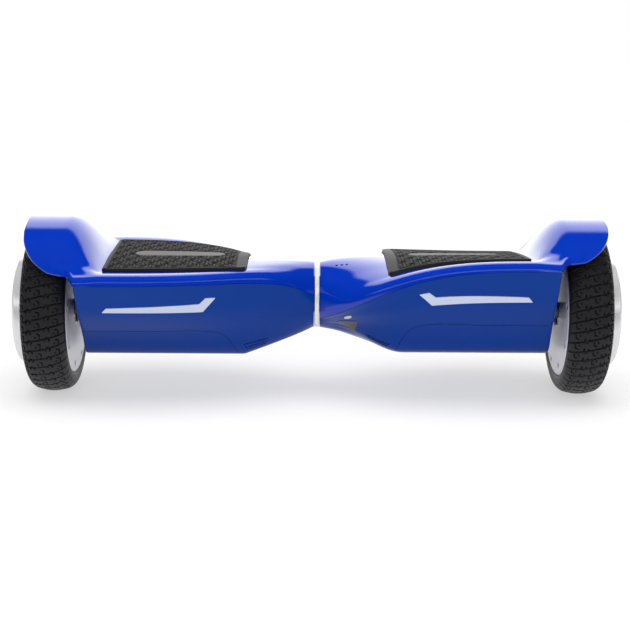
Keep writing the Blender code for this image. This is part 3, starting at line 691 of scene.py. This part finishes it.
def build_upper_shell(side, matrix):
    """The painted top: deck and fender in one skin, and the wall that closes its wheel side."""
    outer = [neck_row(SHELL_START_X, DECK_ROWS[0])]
    outer += [at(x, row) for x, row in zip(DECK_X, DECK_ROWS)]
    fender_x = stations(SHELL_END_X, FENDER_END_X, FENDER_STEP)[1:]
    outer += [at(x, top_row(x)) for x in fender_x]

    inner = [neck_row(SHELL_START_X + WALL, DECK_ROWS[0])]
    middle = np.abs(np.linspace(-1, 1, len(DECK_ROWS[0]))) < THICK_DECK_SHARE
    for x, row in zip(DECK_X, DECK_ROWS):
        deep = smooth_step(x, 50.0, 64.0) * (1 - smooth_step(x, 206.0, 222.0))
        depth = np.where(middle, WALL + (DECK_THICK - WALL) * deep, WALL)
        inner.append(at(max(x, SHELL_START_X + WALL), inset(row, depth)))
    for x in fender_x:
        inner.append(at(x, inset(top_row(x), WALL)))
    shell = skin("upper_shell_skin_" + side, outer, inner, matrix, lip=0.3)

    carve(shell, pad_pocket(matrix))
    holes = [((x, 0, 20), (x, 0, 50), PLUNGER_HOLE_R, 32) for x in PLUNGER_X]
    if side == "right":
        holes += [
            ((x, INDICATOR_Y, 10), (x, INDICATOR_Y, 45), INDICATOR_HOLE_R, 24)
            for x in INDICATOR_X]
    carve(shell, rods("deck_holes", holes, matrix))

    row = inset(top_row(SHELL_END_X - 1.5), WALL * 0.5)
    ends = [at(x, row) for x in (SHELL_END_X - WALL, SHELL_END_X)]
    wall = loft("wheel_side_wall_top_" + side, ends, matrix)
    dress(shell, PAINT, "upper_shell_" + side)
    dress(wall, PAINT, body=body_of("upper_shell_" + side))


def plan_half(x):
    """Half width of the foot pad at x."""
    t = (np.asarray(x, float) - PAD_X[0]) / (PAD_X[1] - PAD_X[0])
    return PAD_Y - PAD_NARROWING * (1 - t)


def pad_outline_half(x, grow=0.0, corner=7.0):
    """Half width with rounded corners at both ends."""
    low = PAD_X[0] - grow
    high = PAD_X[1] + grow
    near = np.clip(np.minimum(x - low, high - x), 0.0, corner)
    return plan_half(x) + grow - corner + np.sqrt(corner**2 - (corner - near) ** 2)


def pad_pocket(matrix):
    """The slab cut from the deck: it follows the deck and goes a little past the pad's outline."""
    ends = (1 - np.cos(np.linspace(0, math.pi, POCKET_LINES))) / 2
    loops = []
    for x in PAD_X[0] - PAD_CLEAR + ends * (PAD_X[1] - PAD_X[0] + 2 * PAD_CLEAR):
        half = float(pad_outline_half(x, PAD_CLEAR))
        y = np.linspace(-half, half, POCKET_LINES)
        z = deck_height(np.full(POCKET_LINES, x), y)
        top = at(x, np.stack([y, z + POCKET_REACH], axis=1))
        floor = at(x, np.stack([y, z - PAD_POCKET], axis=1))
        loops.append(np.concatenate([top, floor[::-1]]))
    return loft("pad_pocket", loops, matrix)


COVER_FOOT_Z = -70.0
COVER_END_X = SHELL_END_X + 6
COVER_HALF_Y = 120
COVER_SCREWS = [
    (x, side * y) for x, y in ((92.0, 19.0), (150.0, 22.0), (208.0, 22.0)) for side in (-1, 1)]


def cover_outline(grow):
    """The bottom cover's outline seen from the front, as (x, z)."""
    line = spline([
        (74.0, COVER_FOOT_Z), (76.0, -52.0), (81.0, -41.0), (87.0, -31.5), (94.0, -26.3),
        (104.0, COVER_SEAM_Z), (160.0, COVER_SEAM_Z), (COVER_END_X, COVER_SEAM_Z),
    ], [4, 5, 5, 5, 6, 6, 2])
    side_share = np.clip((100.0 - line[:, 0]) / 20.0, 0, 1)
    line = line + np.stack([-grow * side_share, grow * (1 - side_share * 0.5)], axis=1)
    return np.concatenate([line, [(COVER_END_X, COVER_FOOT_Z)]])


def cover_region(matrix, grow):
    """What the bottom cover takes of the lower body, right across it."""
    outline = cover_outline(grow)
    rows = [[(x, y, z) for x, z in outline] for y in (-COVER_HALF_Y, COVER_HALF_Y)]
    return loft("cover_region", rows, matrix)


def tub(name, matrix):
    """The whole lower body as a skin that is open at the parting line."""
    count = len(low_row(SHELL_END_X))
    xs = stations(SHELL_START_X, SHELL_END_X - END_ROUND, SHELL_STEP, SHELL_PACKING)
    rows = [low_row(x) for x in xs]
    steps = fine(4)
    outer = [neck_row(SHELL_START_X, rows[0])]
    outer += [at(x, row) for x, row in zip(xs, rows)]
    inner = [neck_row(SHELL_START_X + WALL, rows[0])]
    inner += [at(max(x, SHELL_START_X + WALL), inset(row, -WALL)) for x, row in zip(xs, rows)]
    for k in range(1, steps + 1):
        a = math.pi / 2 * k / steps
        x = SHELL_END_X - END_ROUND * (1 - math.sin(a))
        row = low_row(x)
        outer.append(at(x, inset(row, -END_ROUND * (1 - math.cos(a)))))
        inner.append(at(SHELL_END_X - WALL, inset(row, -WALL)))
    share = np.linspace(0, 1, count)[:, None]
    for grid, x in ((outer, SHELL_END_X), (inner, SHELL_END_X - WALL)):
        edge = grid[-1][:, 1:]
        chord = edge[0] + (edge[-1] - edge[0]) * share
        for k in range(1, 6):
            t = k / 5
            grid.append(at(x, edge + (chord - edge) * t))
    return skin(name, outer, inner, matrix, lip=0.2)


def build_lower_shell(side, matrix):
    """The lower painted half with its bottom cover, window, axle hole and small openings."""
    front = FRONT[side]
    shell = tub("lower_shell_skin_" + side, matrix)
    cover = twin(shell, "bottom_cover_skin_" + side)
    carve(shell, cover_region(matrix, COVER_GAP))
    carve(cover, cover_region(matrix, 0.0), "INTERSECT")

    openings = [((210, 0, -AXLE_DROP), (235, 0, -AXLE_DROP), AXLE_HOLE_R, 48)]
    openings += perforations(front)
    if side == "right":
        openings.append((*rear_line(PORT_X, -12, 14), PORT_HOLE_R, 64))
        openings.append((*rear_line(BUTTON_X, -12, 14), BUTTON_HOLE_R, 64))
    carve(shell, rods("openings", openings, matrix))
    carve(shell, lens_body("lens_window", matrix, front, 0.45, (-6.0, 8.0)))

    low = LOW_OUTLINE[-1][1]
    sinks = [((x, y, low - 1), (x, y, low + 1.7), 4.2, 40) for x, y in COVER_SCREWS]
    carve(cover, rods("screw_sinks", sinks, matrix))
    screws = [((x, y, low + 1.75), (x, y, low + 0.5), 3.4, 32, 2.6) for x, y in COVER_SCREWS]
    heads = rods("cover_screws_" + side, screws, matrix)
    slots = []
    for x, y in COVER_SCREWS:
        for across in (Vector((1, 0, 0)), Vector((0, 1, 0))):
            middle = Vector((x, y, low + 0.55))
            slots.append((middle - across * 1.7, middle + across * 1.7, 0.42, 8))
    for n in range(2):
        carve(heads, rods("screw_slots", slots[n::2], matrix))
    # The darker lower paint carries painted shade on the down-facing shell and cover.
    dress(shell, PAINT_LOW_SHADED, "lower_shell_" + side)
    dress(cover, PAINT_LOW_SHADED, "bottom_cover_" + side)
    dress(heads, STEEL, body=body_of("bottom_cover_" + side))


def perforations(front):
    """Three short rows of sound holes in the lower front edge beside the joint."""
    made = []
    for row in range(3):
        for k in range(9 - row):
            x = 48.0 + 2.7 * k + 1.35 * row
            place = (6.2 if front < 0 else 5.5) + 0.33 * row
            start, end = (face_point(x, place, out, front) for out in (-5.0, 4.0))
            made.append((start, end, 0.95, 12))
    return made


def rear_line(x, low, high):
    return face_point(x, REAR_PLACE, low, 1), face_point(x, REAR_PLACE, high, 1)


# ---- front light ----
PLACE_LENGTH = 17.0      # one place across the front face, in mm


def lens_edges(x):
    stops, high, low = np.array(LENS_ROWS).T
    return float(np.interp(x, stops, high)), float(np.interp(x, stops, low))


def lens_body(name, matrix, front, grow, span):
    """The lens follows the face. grow widens its outline, in mm."""
    places = grow / PLACE_LENGTH
    stops = [station[0] for station in LENS_ROWS]
    between = [round(float(x), 3) for x in np.linspace(stops[0], stops[-1], fine(44))]
    xs = sorted(set(stops + between))
    rows = []
    lanes = fine(8)
    for x in xs:
        high, low = lens_edges(x)
        along = x + grow * (1 if x == xs[-1] else -1 if x == xs[0] else 0)
        line = np.linspace(high - places, low + places, lanes)
        row = [face_point(along, place, span[1], front) for place in line]
        rows.append(row + [face_point(along, place, span[0], front) for place in line[::-1]])
    return loft(name, rows, matrix, sharp=30)


def build_lens(side, matrix):
    front = FRONT[side]
    lens = lens_body(
        "headlight_lens_" + side + "_clear", matrix, front, 0.0, (-2.2, 0.35))
    dress(lens, LENS, "headlight_lens_" + side)


# ---- foot pad ----
PAD_CELL = 15.0
PAD_FIELD = 1.4
PAD_RELIEF = 1.9
PAD_END_BAND = 6.0
PAD_ROWS = 216
PAD_LANES = 206
PAD_SIDE = 1.6
PAD_ROUND = 1.8
PAD_GROOVE = 1.4
ARM_HALF = 0.85
CHEVRON_HALF = 0.75
COS_30 = 0.866
PLAQUE_X = (90.0, 177.0)
PLAQUE_HALF = 10.5


def line_mask(distance, half, soft=0.35):
    """1 on a line, 0 away from it."""
    return 1 - smooth_step(np.abs(distance), half - soft, half + soft)


def hex_cells(x, y, pitch):
    """Distance to the nearest cell's middle and the angle round it, on a honeycomb."""
    best = np.full(x.shape, 1e9)
    angle = np.zeros(x.shape)
    high = pitch * math.sqrt(3)
    for dx, dy in ((0.0, 0.0), (pitch / 2, high / 2)):
        u = (x + dx + pitch / 2) % pitch - pitch / 2
        v = (y + dy + high / 2) % high - high / 2
        r = np.hypot(u, v)
        angle = np.where(r < best, np.arctan2(v, u), angle)
        best = np.minimum(best, r)
    return best, angle


def pad_relief(x, y):
    """The raised pattern: in every cell three arms with chevrons between them, and small holes."""
    r, a = hex_cells(x, y, PAD_CELL)
    third = 2 * math.pi / 3
    folded = np.abs((a + math.pi / 6) % third - third / 2)
    u = r * np.cos(folded)
    v = r * np.sin(folded)
    arm = line_mask(v, ARM_HALF) * (r < PAD_CELL * 0.42)
    slope = u * 0.5 + v * COS_30
    chevron = line_mask(slope - PAD_CELL * 0.23, CHEVRON_HALF) * (r < PAD_CELL * 0.48)
    outer = line_mask(slope - PAD_CELL * 0.38, CHEVRON_HALF) * (r < PAD_CELL * 0.56)
    edge = line_mask(np.maximum(u * COS_30 + v * 0.5, v) - PAD_CELL / 2, 0.8)
    raised = np.maximum(np.maximum(arm, np.maximum(chevron, outer)), edge)
    hole = 1 - smooth_step(r, 0.8, 1.4)
    corner = 1 - smooth_step(np.abs(r - PAD_CELL / math.sqrt(3)), 0.2, 0.9)
    return raised * (1 - hole) * PAD_RELIEF - hole * 0.6 - corner * 0.35


def pad_height(x, y):
    """Height of the pad's top over the deck."""
    to_side = pad_outline_half(x) - np.abs(y)
    edge = np.minimum(np.minimum(x - PAD_X[0], PAD_X[1] - x), to_side)
    inside = np.minimum(np.minimum(x - PAD_X[0] - PAD_END_BAND, PAD_X[1] - x), to_side)
    rounding = np.sqrt(np.clip(1 - (1 - np.clip(edge / PAD_ROUND, 0, 1)) ** 2, 0, 1))
    rim = PAD_SIDE + (PAD_RISE - PAD_SIDE) * rounding
    groove = smooth_step(inside, 3.0, 3.4) * (1 - smooth_step(inside, 4.3, 4.8))
    field = smooth_step(inside, 4.3, 4.8)
    along = np.clip(x, PLAQUE_X[0] + PLAQUE_HALF, PLAQUE_X[1] - PLAQUE_HALF)
    to_plaque = np.hypot(x - along, y) - PLAQUE_HALF
    plaque_room = 1 - smooth_step(to_plaque, 0.2, 0.9)
    relief = pad_relief(x, y) * (1 - plaque_room)
    height = rim * (1 - field) + field * (PAD_FIELD + relief)
    return height - groove * PAD_GROOVE


def build_pad(side, matrix):
    """The rubber pad: its top carries the relief, its underside follows the deck."""
    x = np.linspace(*PAD_X, PAD_ROWS)
    gx = np.repeat(x[:, None], PAD_LANES, axis=1)
    gy = pad_outline_half(x)[:, None] * np.linspace(-1, 1, PAD_LANES)[None, :]
    deck = deck_height(gx, gy)
    top = np.stack([gx, gy, deck + pad_height(gx, gy)], axis=-1)
    under = np.stack([gx, gy, deck - PAD_BASE], axis=-1)
    pad = skin("foot_pad_relief_" + side, top, under, matrix, lip=0.0, sharp=50)
    dress(pad, PAD, "foot_pad_" + side)
    build_plaque(side, matrix)


def build_plaque(side, matrix):
    """A blank name plate: a flat oval set into the pad."""
    rows = []
    low, high = PLAQUE_X
    for share in (1 - np.cos(np.linspace(0.05, math.pi - 0.05, fine(60)))) / 2:
        x = low + (high - low) * share
        reach = max(0.0, PLAQUE_HALF - min(x - low, high - x))
        half = math.sqrt(max(0.04, PLAQUE_HALF**2 - reach**2))
        y = np.linspace(-half, half, 12)
        edge = np.where(np.abs(y) > half - 0.3, 0.25, 0.0)
        deck = deck_height(np.full(12, x), y)
        top = at(x, np.stack([y, deck + PAD_RISE - 0.15 - edge], axis=1))
        under = at(x, np.stack([y, deck + 1.2], axis=1))
        rows.append(np.concatenate([top, under[::-1]]))
    plate = loft("pad_plate_" + side, rows, matrix, sharp=45)
    dress(plate, PLAQUE, body=body_of("foot_pad_" + side))


# ---- wheel ----
TREAD_PITCHES = 50
TREAD_SLANT = math.tan(math.radians(13.5))
TREAD_DEPTH = 1.8
SIPE_COLUMNS = (-16.0, -7.5, 1.0, 9.5, 17.0)
# The tyre's section from the bead to the shoulder, as (distance inwards from its side, radius).
TYRE_SIDE = [
    (1.0, 65.0), (-0.5, 67.5), (-0.6, 71.0), (-0.1, 74.0), (1.3, 76.6), (4.5, 79.4), (11, 81.5)]
BEAD_LINES = ((69.0, 0.7), (72.2, 0.6))
BEAD_DEPTH = 0.35
ROTOR_SCREWS = 9
ROTOR_SCREW_RING_R = 55.5


def tread_depth(s, w, pitch):
    """Depth of the tread's cuts at arc distance s from the crown and w round the tyre."""
    q = (w + s * TREAD_SLANT) % pitch
    to_line = np.minimum(q, pitch - q)
    cut = line_mask(to_line, 0.5, 0.3)
    for number, column in enumerate(SIPE_COLUMNS):
        local = (q + (number % 2) * pitch / 2) % pitch
        stroke = line_mask(s - column, 0.5, 0.3) * line_mask(local - 3.6, 1.9, 0.3)
        hook = line_mask(local - 5.6 - (s - column) * 0.45, 0.5, 0.3)
        hook = hook * line_mask(s - column - 1.4, 1.6, 0.3)
        dot = line_mask(s - column - 4.0, 0.55, 0.3) * line_mask(local - 3.4, 0.9, 0.3)
        cut = np.maximum(cut, np.maximum(stroke, np.maximum(hook, dot)))
    fade = 1 - smooth_step(np.abs(s), 24.0, 25.5)
    return cut * fade * TREAD_DEPTH


def build_tyre(side, matrix):
    shape = [(TYRE_LOW_X + x, r) for x, r in TYRE_SIDE] + [(TYRE_X, TYRE_R)]
    shape += [(TYRE_HIGH_X - x, r) for x, r in reversed(TYRE_SIDE)]
    dense = spline(shape, [24] * (len(shape) - 1))
    length = np.concatenate([[0], np.cumsum(np.linalg.norm(np.diff(dense, axis=0), axis=1))])
    wanted = np.linspace(0, length[-1], 104)
    profile = np.stack([np.interp(wanted, length, dense[:, k]) for k in (0, 1)], axis=1)
    arc = wanted - length[-1] / 2
    bead = BEAD_DEPTH * sum(line_mask(profile[:, 1] - r, half, 0.4) for r, half in BEAD_LINES)
    pitch = 2 * math.pi * TYRE_R / TREAD_PITCHES

    def shift(number, angles):
        cuts = tread_depth(arc[number][:, None], angles[None, :] * TYRE_R, pitch)
        return cuts + bead[number][:, None]

    tyre = lathe(
        "tyre_tread_" + side, profile, matrix, z=-AXLE_DROP, segments=700, sharp=60, shift=shift)
    dress(tyre, RUBBER, "tyre_" + side)


def build_wheel_metal(side, matrix):
    """The rotor's shell, its inner cover with the screws, and the outer hub cap."""
    face = HUB_FACE_X
    high = TYRE_HIGH_X
    rim = rounded([
        (face + 3.2, 60.0), (face + 3.2, HUB_R), (high - 1.2, HUB_R),
        (high + 1.6, HUB_R - 1.0), (high + 1.6, 60.8), (high + 0.8, 60.0), (high + 0.8, 57.6),
        (high + 1.6, 56.8), (high + 1.6, HUB_LIP_R), (high - 2.5, HUB_LIP_R), (high - 2.5, 60.0),
    ], 0.5)
    shell = lathe("rotor_shell_turned_" + side, rim, matrix, z=-AXLE_DROP, segments=128)
    dress(shell, CAST, "rotor_shell_" + side)

    cover = rounded([
        (face + 1.0, 15.0), (face, 16.5), (face, 61.6), (face + 1.6, HUB_R),
        (face + 2.9, HUB_R), (face + 2.9, 20.0), (face + 9.0, 20.0), (face + 9.0, 16.4),
        (face + 2.0, 16.4), (face + 2.0, 15.0),
    ], 0.5)
    disc = lathe("rotor_cover_turned_" + side, cover, matrix, z=-AXLE_DROP, segments=128)
    sinks = []
    screws = []
    sockets = []
    for k in range(ROTOR_SCREWS):
        a = math.radians(360 / ROTOR_SCREWS * k + 12)
        y = ROTOR_SCREW_RING_R * math.cos(a)
        z = ROTOR_SCREW_RING_R * math.sin(a) - AXLE_DROP
        sinks.append(((face - 1, y, z), (face + 1.9, y, z), 3.0, 32))
        screws.append(((face + 1.95, y, z), (face + 0.4, y, z), 2.5, 32, 2.3))
        sockets.append(((face + 1.4, y, z), (face - 1, y, z), 1.25, 6))
    carve(disc, rods("screw_sinks", sinks, matrix))
    heads = rods("rotor_screws_" + side, screws, matrix)
    carve(heads, rods("screw_sockets", sockets, matrix))
    dress(disc, CAST, "rotor_cover_" + side)
    dress(heads, STEEL, body=body_of("rotor_cover_" + side))

    cap = rounded([
        (HUB_CAP_X - 1.0, 0.0), (HUB_CAP_X - 1.0, 36.0), (HUB_CAP_X, 38.0),
        (HUB_CAP_X, HUB_CAP_R - 2.0), (HUB_CAP_X - 2.0, HUB_CAP_R),
        (high + 4.0, HUB_CAP_R), (high + 3.4, HUB_CAP_R - 0.5),
        (high + 2.8, HUB_CAP_R), (high - 2.2, HUB_CAP_R), (high - 2.2, 20.0), (high - 7.0, 20.0),
        (high - 7.0, 16.4), (high + 2.0, 16.4), (high + 2.0, 14.0), (HUB_CAP_X - 3.0, 14.0),
        (HUB_CAP_X - 3.0, 0.0),
    ], 0.9)
    hub = lathe("hub_cap_turned_" + side, cap, matrix, z=-AXLE_DROP, segments=160)
    dress(hub, POLISHED, "hub_cap_" + side)


# ---- joint ----
def build_joint():
    """The bright ring between the halves, and the dark sleeve that shows beside it."""
    half = RING_HALF_WIDTH
    ring = rounded([
        (-half, NECK_R + 0.3), (-half, RING_R - 0.5), (-half + 0.5, RING_R),
        (half - 0.5, RING_R), (half, RING_R - 0.5), (half, NECK_R + 0.3),
    ], 0.35)
    made = lathe("trim_ring_turned", ring, WHOLE, segments=160)
    dress(made, BRUSHED, "trim_ring")
    sleeve = rounded([
        (-10.5, TUBE_R + 0.3), (-10.5, NECK_R), (-3.2, NECK_R), (-2.9, NECK_R - 0.4),
        (2.9, NECK_R - 0.4), (3.2, NECK_R), (10.5, NECK_R), (10.5, TUBE_R + 0.3),
    ], 0.3)
    neck = lathe("neck_sleeve_turned", sleeve, WHOLE, segments=96)
    dress(neck, BLACK, "neck_sleeve")


def along_line(matrix, start, end):
    """The half's frame moved to start, with its X axis towards end."""
    start = Vector(start)
    direction = Vector(end) - start
    turn = direction.to_track_quat("X", "Z").to_matrix().to_4x4()
    return matrix @ Matrix.Translation(start * MM) @ turn


# ---- rear face ----
def build_rear(matrix):
    """The charging port with its pins and cap, and the power button."""
    port = along_line(matrix, *rear_line(PORT_X, 0.0, 1.0))
    socket = lathe("charge_port_turned", rounded([
        (-11.5, 0.0), (-11.5, 10.0), (0.3, 10.0), (0.9, 9.4), (0.9, 8.2), (0.2, 7.6),
        (-7.0, 7.6), (-7.0, 0.0),
    ], 0.3), port, segments=72)
    pins = []
    for k in range(3):
        a = math.radians(90 + 120 * k)
        y = 3.4 * math.cos(a)
        z = 3.4 * math.sin(a)
        pins.append(((-7.2, y, z), (-2.5, y, z), 0.9, 16, 0.7))
    dress(socket, BLACK, "charge_port")
    dress(rods("charge_port_pins", pins, port), COPPER, body=body_of("charge_port"))
    cap = lathe("port_cap_turned", rounded([
        (-3.5, 0.0), (-3.5, 5.4), (-2.8, 6.4), (1.4, 6.4), (1.4, 11.5), (2.9, 11.5), (3.6, 10.4),
        (3.6, 9.0), (3.2, 8.4), (3.2, 0.0),
    ], 0.4), port, segments=72)
    dress(cap, BLACK, "port_cap")
    button = along_line(matrix, *rear_line(BUTTON_X, 0.0, 1.0))
    knob = lathe("power_button_turned", rounded([
        (-5.0, 0.0), (-5.0, 8.0), (0.9, 8.0), (1.6, 7.2), (1.6, 6.2), (1.2, 5.8),
        (1.0, 3.4), (1.0, 0.0),
    ], 0.25), button, segments=72)
    dress(knob, MACHINED, "power_button")


STICKER_ROWS = 17
LABEL_LIFT = 0.4
LABEL_SINK = 0.12


def build_labels(matrix):
    """A dark blank label and a small round one under the right half, near the joint."""
    def film(name, lines):
        """A thin sheet on the face through lines of (x, place)."""
        rows = []
        for line in lines:
            row = [face_point(x, place, LABEL_LIFT, -1) for x, place in line]
            rows.append(row + [face_point(x, place, LABEL_SINK, -1) for x, place in line[::-1]])
        return loft(name, rows, matrix, sharp=50)

    shares = np.linspace(0, 1, 12)
    lines = []
    for t in shares:
        top = (21.0 + (39.0 - 21.0) * t, 3.4)
        low = (21.0 + (37.0 - 21.0) * t, 5.4 + (7.4 - 5.4) * t)
        lines.append([
            (top[0] + (low[0] - top[0]) * u, top[1] + (low[1] - top[1]) * u) for u in shares])
    dress(film("rating_label_blank", lines), LABEL, "rating_label")
    lines = []
    for k in range(STICKER_ROWS):
        a = math.pi * (k + 0.5) / STICKER_ROWS
        x = 29.5 - 3.6 * math.cos(a)
        reach = 0.42 * math.sin(a)
        lines.append([(x, place) for place in np.linspace(2.0 - reach, 2.0 + reach, 8)])
    dress(film("round_sticker_blank", lines), NYLON, "round_sticker")


def build_indicator(matrix):
    """Three smoked light pins that reach the deck, on one strip below it."""
    wanted = [((17.2, INDICATOR_Y, 19.4), (31.0, INDICATOR_Y, 19.4), 1.4, 20)]
    made = rods("indicator_pins", wanted, matrix)
    for x in INDICATOR_X:
        top = float(deck_height(x, INDICATOR_Y)) + 0.15
        pin = ((x, INDICATOR_Y, 19.0), (x, INDICATOR_Y, top), INDICATOR_PIN_R, 20)
        carve(made, rods("pin", [pin], matrix), "UNION")
    dress(made, BLACK, "indicator_lens")


# ---- studio ----
FLOOR_REACH = 6.0


def step_of(tree, source, start, end, low=0.0, high=1.0):
    """A soft step of a node's value: low before start, high after end."""
    made = node(tree, "ShaderNodeMapRange", interpolation_type="SMOOTHSTEP")
    for key, value in (("From Min", start), ("From Max", end), ("To Min", low), ("To Max", high)):
        made.inputs[key].default_value = value
    tree.links.new(source, made.inputs["Value"])
    return made.outputs["Result"]


def build_floor():
    """White paper that fades into the surround. The paint mirrors it dark in front of the board."""
    data = bpy.data.meshes.new("studio_floor")
    corners = [
        (x * FLOOR_REACH, y * FLOOR_REACH, 0) for x, y in ((-1, -1), (1, -1), (1, 1), (-1, 1))]
    data.from_pydata(corners, [], [(0, 1, 2, 3)])
    placed("studio_floor", data)
    paper = finish_of("floor_paper", (0.9, 0.885, 0.885), 0.7, tint=0.004, grain=60, specular=0.1)
    data.materials.append(paper)

    tree = paper.node_tree
    link = tree.links.new
    out = tree.nodes["Material Output"]
    shader = tree.nodes["Principled BSDF"]
    path = node(tree, "ShaderNodeLightPath")
    place = node(tree, "ShaderNodeNewGeometry")
    split = node(tree, "ShaderNodeSeparateXYZ")
    link(place.outputs["Position"], split.inputs["Vector"])
    length = node(tree, "ShaderNodeVectorMath", operation="LENGTH")
    link(place.outputs["Position"], length.inputs[0])

    white = node(tree, "ShaderNodeEmission", Color=(1, 1, 1, 1), Strength=1.05)
    far = node(tree, "ShaderNodeMixShader")
    away = step_of(tree, length.outputs["Value"], 0.3, 0.8, 0.5, 1.0)
    faded = math_of(tree, "MULTIPLY", away, path.outputs["Is Camera Ray"])
    link(faded, far.inputs["Fac"])
    link(shader.outputs[0], far.inputs[1])
    link(white.outputs[0], far.inputs[2])

    mirror = node(tree, "ShaderNodeEmission", Color=(1, 0.98, 1, 1))
    behind = step_of(tree, split.outputs["Y"], -0.6, -0.1, 0.05, 0.8)
    link(behind, mirror.inputs["Strength"])
    seen = node(tree, "ShaderNodeMixShader")
    link(path.outputs["Is Glossy Ray"], seen.inputs["Fac"])
    link(far.outputs[0], seen.inputs[1])
    link(mirror.outputs[0], seen.inputs[2])
    link(seen.outputs[0], out.inputs["Surface"])


def build_world():
    """White to the eye. As light it is bright overhead and behind the board, and dark in front."""
    world = bpy.data.worlds.new("studio")
    bpy.context.scene.world = world
    world.use_nodes = True
    tree = world.node_tree
    link = tree.links.new
    tree.nodes.clear()
    out = node(tree, "ShaderNodeOutputWorld")
    seen = node(tree, "ShaderNodeBackground", Color=(1, 1, 1, 1), Strength=1.0)
    light = node(tree, "ShaderNodeBackground", Color=(1, 1, 1, 1))
    pick = node(tree, "ShaderNodeMixShader")
    path = node(tree, "ShaderNodeLightPath")
    place = node(tree, "ShaderNodeTexCoord")
    split = node(tree, "ShaderNodeSeparateXYZ")
    link(place.outputs["Generated"], split.inputs["Vector"])
    overhead = step_of(tree, split.outputs["Z"], 0.2, 0.8, 0.1, 0.95)
    behind = step_of(tree, split.outputs["Y"], 0.48, 0.62, 0.02, 1.75)
    above = step_of(tree, split.outputs["Z"], 0.16, 0.26, 0.0, 1.2)
    below = step_of(tree, split.outputs["Z"], 0.34, 0.46, 1.0, 0.0)
    ahead = step_of(tree, split.outputs["Y"], -0.5, -0.3, 1.0, 0.0)
    front = math_of(tree, "MULTIPLY", math_of(tree, "MULTIPLY", above, below), ahead)
    mirrored = path.outputs["Is Glossy Ray"]
    unmirrored = math_of(tree, "SUBTRACT", 1.0, mirrored)
    both = math_of(
        tree, "ADD",
        math_of(tree, "MULTIPLY", math_of(tree, "ADD", behind, front), mirrored),
        math_of(tree, "MULTIPLY", overhead, unmirrored))
    link(both, light.inputs["Strength"])
    link(path.outputs["Is Camera Ray"], pick.inputs["Fac"])
    link(light.outputs[0], pick.inputs[1])
    link(seen.outputs[0], pick.inputs[2])
    link(pick.outputs[0], out.inputs["Surface"])


def build_lamps():
    """A softbox overhead and a front fill. The paint mirrors the surround, and neither lamp."""
    for name, place, size, power in (
        ("top_softbox", (0.0, -0.2, 1.5), (1.8, 1.0), 13.0),
        ("front_fill", (0.0, -1.7, 0.9), (1.5, 0.8), 7.0),
    ):
        lamp = bpy.data.lights.new(name, "AREA")
        lamp.shape = "RECTANGLE"
        lamp.size, lamp.size_y = size
        lamp.energy = power
        obj = placed(name, lamp)
        obj.location = place
        obj.visible_glossy = False
        toward = Vector((0, 0, 0.08)) - Vector(place)
        obj.rotation_euler = toward.to_track_quat("-Z", "Y").to_euler()


def build_camera():
    """The product view: from the front, a little above the board, through a long lens."""
    data = bpy.data.cameras.new("product_camera")
    data.lens = 76.63
    data.sensor_width = 36.0
    data.shift_x = -0.002635
    data.shift_y = -0.028382
    camera = placed("product_camera", data)
    camera.location = (-0.01219, -1.30291, 0.32387)
    camera.rotation_euler = [math.radians(a) for a in (79.9786, -0.4401, -0.4547)]
    bpy.context.scene.camera = camera


for half_name, half_matrix in HALVES.items():
    build_upper_shell(half_name, half_matrix)
    build_lower_shell(half_name, half_matrix)
    build_lens(half_name, half_matrix)
    build_pad(half_name, half_matrix)
    build_tyre(half_name, half_matrix)
    build_wheel_metal(half_name, half_matrix)
build_joint()
build_rear(RIGHT)
build_labels(RIGHT)
build_indicator(RIGHT)
finish_carried_nodes()
build_floor()
build_world()
build_lamps()
build_camera()
bpy.context.scene.view_settings.view_transform = "Standard"
